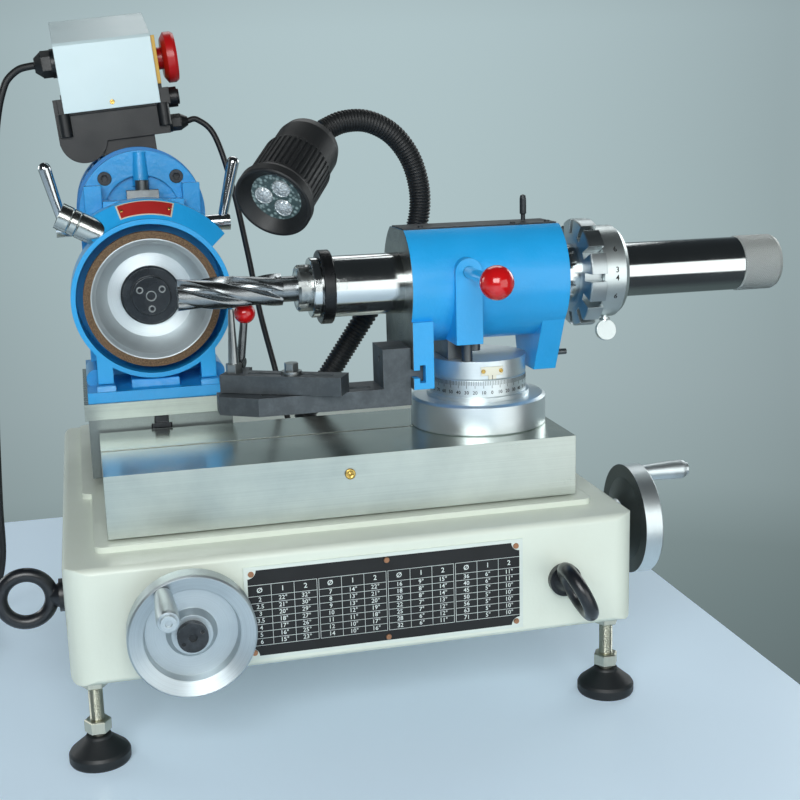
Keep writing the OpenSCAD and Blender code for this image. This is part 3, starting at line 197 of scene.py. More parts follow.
def bump(tree, height, strength, distance, soft=None):
    n = add(tree, "ShaderNodeBump", None, Height=height, Strength=strength, Distance=distance)
    if soft is not None:
        put(tree, n.inputs["Normal"], soft)
    return n.outputs["Normal"]


def shade(color, k):
    """Colour made k times as bright, at most white."""
    return (min(color[0] * k, 1), min(color[1] * k, 1), min(color[2] * k, 1), 1)


def clouded(tree, value, color, dark, pale, low=0.35, high=0.65):
    """Colour that wanders with a value from dark to pale times its brightness."""
    return mix(tree, mask(tree, value, low, high), shade(color, dark), shade(color, pale))


def gloss(tree, shader, value, low, high):
    """Roughness that wanders with a noise value from low to high."""
    put(tree, shader["Roughness"], spread(tree, value, 0.3, 0.7, low, high))


def start(name):
    """New material, its node tree and the inputs of its shader."""
    mat = bpy.data.materials.new(name)
    mat.use_nodes = True
    tree = mat.node_tree
    return mat, tree, tree.nodes["Principled BSDF"].inputs


# materials; lengths in them are in metres, and noise scales are per metre

FINE_EDGE, SOFT_EDGE, PAINT_EDGE, BOX_EDGE = 0.0006, 0.0008, 0.001, 0.0015
BLUE = lin(36, 165, 232)
BARE_EDGE = lin(150, 154, 156)
# grey painted as shade on the handwheels' faces turned towards the machine
REAR_SHADE = lin(84, 90, 92)


def rounded(tree, radius):
    """Normal that is rounded along the edges."""
    return add(tree, "ShaderNodeBevel", {"samples": 4}, Radius=radius).outputs["Normal"]


def on_edges(tree, soft):
    """Mask that is 1 where the rounded normal leaves the plain one."""
    return mask(tree, dot(tree, soft, normal(tree)), 0.995, 0.80)


def rubbed_edges(tree, soft, worn):
    """Mask of edges whose paint is rubbed in places."""
    return times(tree, on_edges(tree, soft), spread(tree, noise(tree, 120, 4), 0.40, 0.65, 0, worn))


def paint(name, color, rough=0.35, grain=260, depth=0.0004, blotch=9, vary=0.06, coat=0.25, edge=PAINT_EDGE,
          worn=0.35):
    """Sprayed machine paint: slight pebble, cloudy tone, duller patches and edges rubbed pale."""
    mat, tree, shader = start(name)
    soft = rounded(tree, edge)
    tone = clouded(tree, noise(tree, blotch, 4), color, 1 - vary, 1 + vary)
    put(tree, shader["Base Color"], mix(tree, rubbed_edges(tree, soft, worn), tone, shade(color, 1.45)))
    gloss(tree, shader, noise(tree, 55, 4), rough - 0.06, rough + 0.10)
    shader["Coat Weight"].default_value = coat
    shader["Coat Roughness"].default_value = 0.20
    put(tree, shader["Normal"], bump(tree, noise(tree, grain, 2, 0.6), 0.35, depth, soft))
    return mat


def ground(name, color, along, rough=0.30, lines=0.0002, cloudy=0.12, top=None, edge=FINE_EDGE):
    """Surface-ground steel: fine lines along one axis over a faint cloudy bloom, smoother on top if asked."""
    mat, tree, shader = start(name)
    fine, coarse = 900, 6
    scale = tuple(coarse if a == along else fine for a in "xyz")
    lined = add(tree, "ShaderNodeMapping", None, Vector=coords(tree), Scale=scale).outputs["Vector"]
    streak = noise(tree, 1.0, 3, 0.6, lined)
    tone = plus(tree, times(tree, streak, 0.35), times(tree, noise(tree, 17, 5, 0.6), 0.65))
    put(tree, shader["Base Color"], clouded(tree, tone, color, 1 - cloudy, 1 + cloudy))
    shader["Metallic"].default_value = 1.0
    dull = spread(tree, tone, 0.3, 0.7, rough - 0.07, rough + 0.12)
    if top is not None:
        upward = mask(tree, split(tree, normal(tree))["Z"], 0.5, 0.9)
        smooth = spread(tree, tone, 0.3, 0.7, top - 0.03, top + 0.05)
        dull = add(tree, "ShaderNodeMix", {"data_type": "FLOAT"}, i0=upward, i2=dull, i3=smooth).outputs[0]
    put(tree, shader["Roughness"], dull)
    put(tree, shader["Normal"], bump(tree, streak, 0.25, lines, rounded(tree, edge)))
    return mat


def round_axis(tree, axis, centre):
    """Radius from an axis, place along it and angle round it, as sockets."""
    middle = tuple(at(*centre))
    away = add(tree, "ShaderNodeVectorMath", {"operation": "SUBTRACT"}, i0=coords(tree), i1=middle)
    parts = split(tree, away.outputs[0])
    one, two, length = (parts[k] for k in {"x": "YZX", "y": "XZY", "z": "XYZ"}[axis])
    radius = calc(tree, "SQRT", plus(tree, times(tree, one, one), times(tree, two, two)))
    return radius, length, calc(tree, "ARCTAN2", one, two)


def turned(name, color, axis, centre, rough=0.25, depth=0.00015, metal=1.0, pitch=2600, vary=0.10, drawn=0.45,
           knurl=0.0, shaded_side=None):
    """Lathe-turned metal: rings round an axis, a drawn-out gloss, and a knurl or painted shade on faces
    turned to one side if asked.
    """
    mat, tree, shader = start(name)
    radius, length, angle = round_axis(tree, axis, centre)
    ring = line_noise(tree, times(tree, plus(tree, radius, times(tree, length, 1.3)), pitch))
    tone = plus(tree, times(tree, ring, 0.6), times(tree, noise(tree, 30, 4, 0.6), 0.4))
    bright = clouded(tree, tone, color, 1 - vary, 1 + vary)
    if shaded_side:
        # painted shade: faces turned the given way are darkened to a flat grey
        bright = mix(tree, mask(tree, dot(tree, normal(tree), shaded_side), 0.5, 0.9), bright, REAR_SHADE)
    put(tree, shader["Base Color"], bright)
    shader["Metallic"].default_value = metal
    shader["Anisotropic"].default_value = drawn
    shader["Anisotropic Rotation"].default_value = 0.25
    tangent = add(tree, "ShaderNodeTangent", {"direction_type": "RADIAL", "axis": axis.upper()})
    put(tree, shader["Tangent"], tangent.outputs[0])
    gloss(tree, shader, tone, rough - 0.06, rough + 0.10)
    relief = bump(tree, ring, 0.3, depth, rounded(tree, FINE_EDGE))
    if knurl:
        u, v = times(tree, angle, 70.0), times(tree, length, 2900.0)
        crossed = plus(tree, calc(tree, "SINE", plus(tree, u, v)), calc(tree, "SINE", minus(tree, u, v)))
        relief = bump(tree, crossed, 0.8, knurl, relief)
    put(tree, shader["Normal"], relief)
    return mat


def blackened(name, color, rough=0.42, metal=0.5, grain=420, rubbed=2.4):
    """Black-oxide steel: oily sheen with lighter rubbed specks and bare edges."""
    mat, tree, shader = start(name)
    soft = rounded(tree, SOFT_EDGE)
    specks = mask(tree, noise(tree, 70, 6, 0.7), 0.45, 0.75)
    bare = times(tree, on_edges(tree, soft), spread(tree, noise(tree, 160, 4), 0.40, 0.62, 0, 0.8))
    oxide = mix(tree, specks, color, shade(color, rubbed))
    put(tree, shader["Base Color"], mix(tree, bare, oxide, BARE_EDGE))
    shader["Metallic"].default_value = metal
    gloss(tree, shader, noise(tree, 30, 4), rough - 0.10, rough + 0.10)
    put(tree, shader["Normal"], bump(tree, noise(tree, grain, 2), 0.25, 0.0002, soft))
    return mat


def moulded(name, color, rough=0.5, grain=900, depth=0.0002, coat=0.0):
    """Moulded plastic or rubber with a fine grain and slight gloss changes."""
    mat, tree, shader = start(name)
    put(tree, shader["Base Color"], clouded(tree, noise(tree, 14, 4), color, 0.9, 1.12, 0.3, 0.7))
    gloss(tree, shader, noise(tree, 45, 3), rough - 0.07, rough + 0.08)
    shader["Coat Weight"].default_value = coat
    put(tree, shader["Normal"], bump(tree, noise(tree, grain, 2), 0.2, depth, rounded(tree, SOFT_EDGE)))
    return mat


def gritty(name, color):
    """Resin-bonded abrasive: coarse specks of grit in a brown bond."""
    mat, tree, shader = start(name)
    grit = cells(tree, 950.0)
    put(tree, shader["Base Color"], clouded(tree, grit, color, 1.5, 0.6, 0.1, 0.6))
    shader["Roughness"].default_value = 0.85
    put(tree, shader["Normal"], bump(tree, grit, 0.8, 0.0006))
    return mat


def switch_paint():
    """Pale painted enclosure; the plate behind the stop button is yellow."""
    mat, tree, shader = start("switch_plastic")
    pale, yellow = lin(216, 236, 240), lin(206, 160, 52)
    plate_side = 0.03605
    middle = at(BOX[0], 0, BOX[1])
    place = split(tree, coords(tree))
    across = plus(tree, times(tree, minus(tree, place["X"], middle[0]), math.cos(BOX_ROLL)),
                  times(tree, minus(tree, place["Z"], middle[2]), math.sin(BOX_ROLL)))
    cloud = clouded(tree, noise(tree, 8, 4), pale, 0.96, 1.02, 0.3, 0.7)
    put(tree, shader["Base Color"], mix(tree, calc(tree, "GREATER_THAN", across, plate_side), cloud, yellow))
    gloss(tree, shader, noise(tree, 40, 3), 0.30, 0.42)
    put(tree, shader["Normal"], bump(tree, noise(tree, 500, 2), 0.2, 0.0002, rounded(tree, BOX_EDGE)))
    return mat


def head_paint():
    """Blue head with its left face machined bare."""
    mat, tree, shader = start("head_paint")
    face = at(66.25, 0, 0)[0]
    bare = calc(tree, "LESS_THAN", split(tree, coords(tree))["X"], face)
    soft = rounded(tree, PAINT_EDGE)
    blue = clouded(tree, noise(tree, 11, 4), BLUE, 0.94, 1.06)
    blue = mix(tree, rubbed_edges(tree, soft, 0.35), blue, shade(BLUE, 1.45))
    ring = line_noise(tree, times(tree, round_axis(tree, "x", SPINDLE)[0], 1500.0))
    steel = mix(tree, mask(tree, ring, 0.3, 0.7), lin(112, 116, 112), lin(150, 154, 150))
    put(tree, shader["Base Color"], mix(tree, bare, blue, steel))
    put(tree, shader["Metallic"], bare)
    gloss(tree, shader, noise(tree, 55, 4), 0.28, 0.44)
    shader["Coat Weight"].default_value = 0.2
    shader["Coat Roughness"].default_value = 0.25
    put(tree, shader["Normal"], bump(tree, noise(tree, 240, 2, 0.6), 0.35, 0.0006, soft))
    return mat


def chart_paint():
    """White chart plate; the rivets that stand proud of it are copper."""
    mat, tree, shader = start("chart_plate_white")
    white, copper = lin(218, 228, 222), lin(176, 128, 98)
    face = at(0, -1.28, 0)[1]
    proud = calc(tree, "LESS_THAN", split(tree, coords(tree))["Y"], face)
    cloud = clouded(tree, noise(tree, 14, 4), white, 0.94, 1.04, 0.3, 0.7)
    put(tree, shader["Base Color"], mix(tree, proud, cloud, copper))
    put(tree, shader["Metallic"], proud)
    gloss(tree, shader, noise(tree, 45, 3), 0.30, 0.42)
    put(tree, shader["Normal"], bump(tree, noise(tree, 500, 2), 0.2, 0.0001))
    return mat


def nose_finish():
    """Blackened collar; the slotted nut in front of it is bare steel."""
    mat, tree, shader = start("nose_finish")
    nut_end = at(-10, 0, 0)[0]
    bare = calc(tree, "LESS_THAN", split(tree, coords(tree))["X"], nut_end)
    soft = rounded(tree, FINE_EDGE)
    cloud = mask(tree, noise(tree, 90, 4), 0.35, 0.65)
    black = mix(tree, cloud, lin(22, 24, 26), lin(32, 34, 36))
    black = mix(tree, times(tree, on_edges(tree, soft), 0.3), black, lin(120, 124, 126))
    steel = mix(tree, cloud, lin(150, 154, 154), lin(186, 190, 188))
    put(tree, shader["Base Color"], mix(tree, bare, black, steel))
    put(tree, shader["Metallic"], spread(tree, bare, 0, 1, 0.4, 1.0))
    gloss(tree, shader, noise(tree, 60, 4), 0.20, 0.34)
    put(tree, shader["Normal"], bump(tree, noise(tree, 700, 2), 0.2, 0.0001, soft))
    return mat


def lens_glass():
    """Clear moulded lamp lens with fine facets."""
    mat, tree, shader = start("lamp_lens_clear")
    facets = cells(tree, 420.0)
    put(tree, shader["Base Color"], mix(tree, facets, lin(236, 242, 244), lin(150, 160, 166)))
    shader["Metallic"].default_value = 0.35
    shader["Roughness"].default_value = 0.10
    shader["Coat Weight"].default_value = 0.8
    put(tree, shader["Normal"], bump(tree, facets, 0.7, 0.0015))
    return mat


def lens_plate():
    """Grey-green moulding that holds the three lenses."""
    mat, tree, shader = start("lens_holder")
    dots = cells(tree, 260.0)
    tone = mix(tree, mask(tree, dots, 0.2, 0.5), lin(150, 170, 170), lin(70, 88, 90))
    put(tree, shader["Base Color"], tone)
    shader["Roughness"].default_value = 0.18
    shader["Coat Weight"].default_value = 0.6
    put(tree, shader["Normal"], bump(tree, dots, 0.5, 0.0008))
    return mat


mats = {
    "cream": paint("cream_paint", lin(222, 230, 218), rough=0.38, grain=300, depth=0.0003, blotch=6,
                   vary=0.025, coat=0.2, edge=0.0015, worn=0.1),
    "blue": paint("blue_paint", BLUE, rough=0.34, grain=240, depth=0.0007, blotch=11, vary=0.07, coat=0.35),
    "cast_blue": paint("blue_cast_paint", lin(34, 158, 226), rough=0.36, grain=150, depth=0.0014, blotch=14,
                       vary=0.09, coat=0.35, edge=0.0014),
    "motor": paint("motor_paint", lin(30, 128, 196), rough=0.42, grain=300, blotch=10, vary=0.08, coat=0.15),
    "eye": paint("black_paint", lin(22, 25, 30), rough=0.34, grain=220, depth=0.0005, blotch=12,
                 vary=0.12, coat=0.3),
    "table": ground("ground_table", lin(190, 197, 190), "x", rough=0.32, lines=0.00012, top=0.19),
    "plate": ground("ground_plate", lin(158, 166, 162), "x", rough=0.36, cloudy=0.16, top=0.26),
    "slide": ground("slide_iron", lin(124, 132, 132), "y", rough=0.42, lines=0.0003, cloudy=0.18),
    "ways": ground("way_steel", lin(150, 156, 156), "y", rough=0.35, cloudy=0.15),
    "cutter": ground("cutter_steel", lin(140, 144, 146), "x", rough=0.25, lines=0.0001, cloudy=0.10,
                     edge=0.0003),
    "zinc": ground("zinc_plate", lin(196, 196, 182), "z", rough=0.32, lines=0.0001),
    "lever": ground("lever_chrome", lin(206, 210, 212), "z", rough=0.10, lines=0.00005, cloudy=0.05),
    "finger": ground("finger_steel", lin(150, 154, 154), "z", lines=0.0003, cloudy=0.2),
    "bronze": ground("bearing_bronze", lin(176, 140, 84), "x", rough=0.35),
    "dial": turned("dial_satin", lin(222, 230, 232), "z", SPINDLE, rough=0.36, depth=0.0001, metal=0.9,
                   pitch=1800, vary=0.04, drawn=0.3),
    # the handwheels' faces turned towards the machine get painted shade
    "front_wheel": turned("turned_front", lin(188, 197, 201), "y", FRONT_WHEEL, rough=0.36, depth=0.0002,
                          metal=0.9, shaded_side=(0, 1, 0)),
    "side_wheel": turned("turned_side", lin(214, 222, 224), "x", SIDE_WHEEL, rough=0.36, depth=0.0002,
                         metal=0.9, shaded_side=(-1, 0, 0)),
    "dish": turned("turned_dish", lin(214, 222, 225), "y", WHEEL, rough=0.36, depth=0.0002, metal=0.85,
                   pitch=1500, vary=0.08, drawn=0.7),
    "spigot": turned("turned_spigot", lin(188, 192, 188), "y", WHEEL, rough=0.18, depth=0.0001, drawn=0.0),
    "spindle": turned("hard_chrome", lin(212, 216, 216), "x", SPINDLE, rough=0.10, depth=0.00005, pitch=3200,
                      vary=0.05, drawn=0.0),
    "scale": turned("scale_satin", lin(214, 222, 222), "x", SPINDLE, rough=0.34, depth=0.0001, metal=0.95,
                    pitch=1800, vary=0.05, drawn=0.3),
    "knob": turned("knob_steel", lin(196, 200, 198), "x", SPINDLE, rough=0.44, depth=0.0002, metal=0.85,
                   vary=0.06, drawn=0.0, knurl=0.00022),
    "index": turned("index_steel", lin(190, 198, 200), "x", SPINDLE, rough=0.32, depth=0.0001, pitch=2200,
                    vary=0.08, drawn=0.3),
    "brass": turned("small_brass", lin(206, 172, 96), "y", BRASS_MIDDLE, depth=0.0001, drawn=0.0),
    "black": blackened("black_oxide", lin(44, 48, 52), rough=0.46, metal=0.35),
    "rest": blackened("rest_oxide", lin(78, 84, 88), rough=0.50, metal=0.55, grain=300, rubbed=1.5),
    "dark": blackened("dark_steel", lin(92, 96, 98), rough=0.34, metal=0.85, rubbed=1.4),
    "hub": blackened("hub_black", lin(52, 56, 60), rough=0.32, metal=0.7, rubbed=1.5),
    "plastic": moulded("black_plastic", lin(15, 18, 21), rough=0.40, grain=700, depth=0.0003),
    "lamp": moulded("lamp_body", lin(18, 20, 22), grain=1200),
    "rubber": moulded("black_rubber", lin(22, 24, 26)),
    "foot": moulded("foot_rubber", lin(22, 26, 29), grain=500, depth=0.0004),
    "red": moulded("red_gloss", lin(200, 18, 22), rough=0.16, grain=300, depth=0.00005, coat=0.6),
    "stop": moulded("stop_red", lin(188, 20, 24), rough=0.34, grain=600, depth=0.0001, coat=0.2),
    "ink": moulded("black_ink", lin(6, 8, 10), rough=0.55, depth=0.0001),
    "white_ink": moulded("white_ink", lin(222, 230, 228), depth=0.0001),
    "tag_red": moulded("red_plate", lin(172, 40, 38), rough=0.38, grain=700, coat=0.2),
    "tag_cream": moulded("cream_edge", lin(214, 206, 186), rough=0.45, grain=700),
    "ivory": moulded("ivory_plate", lin(232, 230, 212), rough=0.42, grain=700),
    "grit": gritty("abrasive_bond", lin(122, 98, 74)),
    "switch": switch_paint(),
    "head": head_paint(),
    "chart": chart_paint(),
    "nose": nose_finish(),
    "lens": lens_glass(),
    "holder": lens_plate(),
}

looks = {
    "base_casting": "cream", "foot_pads": "foot", "foot_studs": "zinc", "eyebolts": "eye",
    "chart_plate": "chart", "screw_bearings": "bronze", "bed_ways": "ways",
    "front_wheel": "front_wheel", "front_handle": "front_wheel", "front_screw": "black",
    "side_wheel": "side_wheel", "side_handle": "side_wheel", "side_screw": "black",
    "table": "table", "dial_foot": "dial", "dial_ring": "dial", "dial_top": "dial",
    "head_pedestal": "dark", "head_casting": "head", "head_top_plate": "black",
    "plunger_rod": "lever", "plunger_ball": "red", "toggle_lever": "black",
    "scale_ring": "scale", "thumb_screw": "scale", "quill": "spindle", "nose_collar": "nose",
    "end_mill": "cutter", "index_wheel": "index", "drawbar_knob": "knob",
    "rest_arm": "rest", "rest_bar": "rest", "rest_finger": "finger", "rest_lever": "dark", "rest_ball": "red",
    "wheel_slide": "slide", "head_plate": "plate", "wheel_bracket": "cast_blue", "wheelhead_bolts": "black",
    "motor": "motor", "terminal_box": "plastic", "switch_box": "switch", "cable_glands": "plastic",
    "stop_button": "stop", "wheel_dish": "dish", "wheel_abrasive": "grit", "wheel_hub": "hub",
    "guard": "blue", "clamp_block": "dark", "dust_spigot": "spigot",
    "lever_left": "lever", "lever_right": "lever",
    "lamp_base": "lamp", "lamp_neck": "rubber", "lamp_head": "lamp", "lamp_lens": "holder",
    "mains_lead": "rubber", "mains_coil": "rubber", "mains_plug": "plastic", "lamp_cable": "rubber",
}
for name, o in nodes.items():
    o.data.materials.clear()
    o.data.materials.append(mats[looks[name]])

# helpers for pieces


def piece(name, bm, mat, body, smooth=False, crease=None):
    """Object from a mesh, riding a body; edges sharper than crease degrees stay sharp."""
    me = bpy.data.meshes.new(name)
    bmesh.ops.recalc_face_normals(bm, faces=bm.faces)
    bm.to_mesh(me)
    bm.free()
    me.materials.append(mats[mat])
    if smooth:
        me.shade_smooth()
    if crease:
        me.set_sharp_from_angle(angle=math.radians(crease))
    o = bpy.data.objects.new(name, me)
    scene.collection.objects.link(o)
    if body:
        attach(o, body)
    return o


def hexa(bm, corners):
    """Closed box from eight corners: four below, then four above."""
    v = [bm.verts.new(c) for c in corners]
    for f in ((3, 2, 1, 0), (4, 5, 6, 7), (0, 1, 5, 4), (1, 2, 6, 5), (2, 3, 7, 6), (3, 0, 4, 7)):
        bm.faces.new([v[k] for k in f])


def slab(bm, lo, hi):
    """Box along the axes between two corners."""
    x0, y0, z0 = lo
    x1, y1, z1 = hi
    hexa(bm, [at(x, y, z) for z in (z0, z1) for x, y in ((x0, y0), (x1, y0), (x1, y1), (x0, y1))])


def skin(bm, rings):
    """Faces between rings of vertices that follow one another."""
    for a, b in zip(rings, rings[1:]):
        for k in range(len(a)):
            j = (k + 1) % len(a)
            bm.faces.new((a[k], a[j], b[j], b[k]))


def loft(bm, rings):
    """Closed shape through rings of vertices, flat at both ends."""
    skin(bm, rings)
    bm.faces.new(rings[0])
    bm.faces.new(rings[-1])


def fan(bm, ring, tip):
    """Faces from a ring of vertices to one vertex."""
    for k in range(len(ring)):
        bm.faces.new((ring[k], ring[(k + 1) % len(ring)], tip))


def lathe(bm, profile, m, sides):
    """Turned shape: profile of (radius, height) in mm about the matrix's Z, closed where the radius is 0."""
    circle = [(math.cos(math.tau * k / sides), math.sin(math.tau * k / sides)) for k in range(sides)]
    rings = [[bm.verts.new(m @ Vector((r * c, r * s, h))) for c, s in (circle if r else circle[:1])]
             for r, h in profile]
    for a, b in zip(rings, rings[1:]):
        if len(a) == 1:
            fan(bm, b, a[0])
        elif len(b) == 1:
            fan(bm, a, b[0])
        else:
            skin(bm, (a, b))


def placed(origin, z_axis, up=(0, 0, 1)):
    """Matrix in mm to the row frame, with its Z along z_axis and its Y nearest to up."""
    z = Vector(z_axis).normalized()
    x = Vector(up).cross(z).normalized()
    y = z.cross(x)
    m = Matrix((x, y, z)).transposed().to_4x4() @ Matrix.Scale(0.001, 4)
    m.translation = at(*origin)
    return m


def writing(bm, text, size, m):
    """Flat digits in the matrix's XY plane, centred on its origin; sizes in mm."""
    cu = bpy.data.curves.new("digits", "FONT")
    cu.body = text
    cu.size = size
    cu.align_x = "CENTER"
    cu.align_y = "CENTER"
    cu.resolution_u = 2
    cu.offset = 0.012 * size
    o = bpy.data.objects.new("digits", cu)
    scene.collection.objects.link(o)
    me = o.to_mesh()
    before = len(bm.verts)
    bm.from_mesh(me)
    bm.verts.ensure_lookup_table()
    for v in bm.verts[before:]:
        v.co = m @ v.co
    o.to_mesh_clear()
    bpy.data.objects.remove(o)
    bpy.data.curves.remove(cu)


# cords and the flexible neck


def smooth_path(p, count):
    """Catmull-Rom curve through the points, as in the part's source."""
    out = []
    n = len(p) - 1
    for k in range(count + 1):
        s = k / count * n
        i = min(int(s), n - 1)
        t = s - i
        a, b, c, d = p[max(i - 1, 0)], p[i], p[min(i + 1, n)], p[min(i + 2, n)]
        out.append(0.5 * (2 * b + (c - a) * t + (2 * a - 5 * b + 4 * c - d) * t * t
                          + (3 * b - a - 3 * c + d) * t * t * t))
    return out


def tube(bm, path, radii, sides):
    """Round tube along a path in metres, with a radius for each of its points."""
    n = len(path)
    tangents = [(path[min(i + 1, n - 1)] - path[max(i - 1, 0)]).normalized() for i in range(n)]
    circle = [(math.cos(math.tau * k / sides), math.sin(math.tau * k / sides)) for k in range(sides)]
    u = Vector((0.13, 0.97, 0.21))
    rings = []
    for p, t, r in zip(path, tangents, radii):
        u = (u - u.dot(t) * t).normalized()
        w = t.cross(u)
        rings.append([bm.verts.new(p + r * (c * u + s * w)) for c, s in circle])
    loft(bm, rings)


def vectors(points):
    return [Vector(p) for p in points]


LEAD = Vector((-236.02, 369, 565.93))  # where the mains lead leaves its gland
LYING = 3.6  # height of the lead's middle where it lies on the bench
fall = [(0, 0), (-4, -0.4), (-15, -3.2), (-25, -11), (-30.5, -20), (-37, -40), (-43, -72), (-50, -130),
        (-57, -200), (-63, -280), (-68, -360), (-72, -440), (-74, -496)]
lying = [(-84, 34), (-101, 12), (-120, 4.0), (-137, LYING)]
route = [LEAD + Vector((dx, 0, dz)) for dx, dz in fall]
route += [Vector((LEAD[0] + dx, LEAD[1], z)) for dx, z in lying]
COIL_RADIUS, COIL_STEP, COIL_TURNS = 49, 8, 4.25
COIL = Vector((route[-1][0], LEAD[1] - COIL_RADIUS, 0))  # so that the coil starts where the route ends
LAYER_TURNS, LAYER_RISE, CLIMB_TURNS = 2, 7.6, 0.5


def coil_point(turn):
    """Middle of the coiled lead after some turns: inwards in one layer, outwards in the next."""
    wound = turn if turn < LAYER_TURNS else 2 * LAYER_TURNS - turn
    r = COIL_RADIUS - COIL_STEP * wound
    a = math.radians(90 + 360 * turn)
    up = min(max((turn - LAYER_TURNS) / CLIMB_TURNS + 0.5, 0), 1)
    return COIL + Vector((r * math.cos(a), r * math.sin(a), LYING + up * LAYER_RISE))


def mains_path():
    """Middle line of the lead: down to the bench, round the coil and into the plug."""
    lead_steps, turn_steps = 136, 40
    turns = [coil_point(k / turn_steps) for k in range(1, int(COIL_TURNS * turn_steps) + 1)]
    tail = [turns[-1] + v for v in vectors([(-0.4, -13, 0), (-0.6, -26, -0.2), (-0.6, -40, -0.4)])]
    return [at(x, y, max(z, LYING)) for x, y, z in smooth_path(route, lead_steps) + turns + tail]


def coil_tie():
    """Strap round the coil."""
    half_width = 5
    outline = [(27.5, 0.02), (56, 0.02), (57.5, 1.5), (57.5, 14), (56, 15.6), (29, 15.6), (27.5, 14),
               (26.5, 1.5)]
    out, side = round_z(225)
    bm = bmesh.new()
    skin(bm, [[bm.verts.new(at(*(COIL + r * out + s * side + Vector((0, 0, z))))) for r, z in outline]
              for s in (-half_width, half_width)])
    return piece("coil_tie", bm, "plastic", "wheelhead")


def mains():
    """Mains lead with its coil, as one smooth cord."""
    path = mains_path()
    cu = bpy.data.curves.new("mains_cord", "CURVE")
    cu.dimensions = "3D"
    cu.bevel_depth = 0.0035
    cu.bevel_resolution = 4
    cu.use_fill_caps = True
    sp = cu.splines.new("POLY")
    sp.points.add(len(path) - 1)
    for q, p in zip(sp.points, path):
        q.co = (*p, 1)
    cu.materials.append(mats["rubber"])
    o = bpy.data.objects.new("mains_cord", cu)
    scene.collection.objects.link(o)
    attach(o, "wheelhead")
    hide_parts("mains_lead", "mains_coil")
    tie = coil_tie()


def lamp_cable():
    """Lamp cable from the terminal box to the lamp's foot."""
    gland = Vector((-90.75, 371, 509.59))
    first = [(0, 0, 0), (10, 0, 0.6), (26, -4, -16), (40, -12, -66), (50, -26, -130), (58, -44, -194)]
    last = [(-24, 305, 264), (-18, 299, 230), (-13, 295, 206), (-8, 286, 191), (-5, 275, 186.3),
            (-5, 261.9, 186)]
    steps, sides, radius = 132, 12, 0.003
    points = [gland + v for v in vectors(first)] + vectors(last)
    path = [at(*p) for p in smooth_path(points, steps)]
    bm = bmesh.new()
    tube(bm, path, [radius] * len(path), sides)
    o = piece("lamp_flex", bm, "rubber", None, True)
    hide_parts("lamp_cable")
    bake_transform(o)


def neck():
    """Lamp's neck with smooth ribs."""
    points = [(-5, 245, 196.1), (-5, 245, 220), (6, 245, 243), (22, 245, 265), (38, 245, 288), (54, 245, 311),
              (76, 245, 342), (98, 245, 374), (112, 245, 400), (117, 244, 425), (114, 241, 450),
              (104, 237, 474), (86, 231, 494), (62, 224, 505), (38, 218, 505), (18.34, 212.71, 497.44)]
    ribs, sides = 120, 20
    rib_radii = (9.0, 10.05, 10.45, 10.5, 10.3, 9.6)
    path = [at(*p) for p in smooth_path(vectors(points), ribs * len(rib_radii))]
    bm = bmesh.new()
    tube(bm, path, [rib_radii[k % len(rib_radii)] / 1000 for k in range(len(path))], sides)
    o = piece("neck_hose", bm, "rubber", "base", True)
    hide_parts("lamp_neck")


# chart: bare black field with concave corners, ruled lines and plain numbers

FIELD_LEFT, FIELD_RIGHT, FIELD_LOW, FIELD_HIGH = -97, 132, 85, 158
RULES_LOW, RULES_HIGH, HEAD_ROW = 93.8, 145.5, 9.4
GROUPS, COLUMNS, ROWS, GROUP_GAP = 4, 3, 7, 1.6
ROW_HIGH = (RULES_HIGH - HEAD_ROW - RULES_LOW) / ROWS
GROUP_WIDE = (FIELD_RIGHT - FIELD_LEFT - (GROUPS - 1) * GROUP_GAP) / GROUPS
group_lefts = [FIELD_LEFT + g * (GROUP_WIDE + GROUP_GAP) for g in range(GROUPS)]


def chart_field():
    """Black field, with a round bite at each corner."""
    bite, steps = 7, 8
    front, back = -1.32, -1.15
    edge = []
    for x, z, first in ((FIELD_LEFT, FIELD_LOW, 90), (FIELD_RIGHT, FIELD_LOW, 180),
                        (FIELD_RIGHT, FIELD_HIGH, 270), (FIELD_LEFT, FIELD_HIGH, 0)):
        for k in range(steps + 1):
            a = math.radians(first - 90 * k / steps)
            edge.append((x + bite * math.cos(a), z + bite * math.sin(a)))
    bm = bmesh.new()
    loft(bm, [[bm.verts.new(at(x, y, z)) for x, z in edge] for y in (front, back)])
    piece("chart_field", bm, "ink", "base")


def chart_rules():
    """White lines round the chart's cells; the field's own left and right edges stay bare."""
    half, field_gap = 0.2, 0.05
    level_front, level_back = -1.46, -1.3
    upright_front, upright_back = -1.47, -1.31
    bm = bmesh.new()
    for g, x in enumerate(group_lefts):
        first, last = g == 0, g == GROUPS - 1
        left = x + (field_gap if first else half)
        right = x + GROUP_WIDE - (field_gap if last else half)
        for z in [RULES_LOW + k * ROW_HIGH for k in range(ROWS + 1)] + [RULES_HIGH]:
            slab(bm, (left, level_front, z - half), (right, level_back, z + half))
        for k in range(1 if first else 0, COLUMNS if last else COLUMNS + 1):
            c = x + k * GROUP_WIDE / COLUMNS
            slab(bm, (c - half, upright_front, RULES_LOW - half), (c + half, upright_back, RULES_HIGH + half))
    piece("chart_rules", bm, "white_ink", "base")


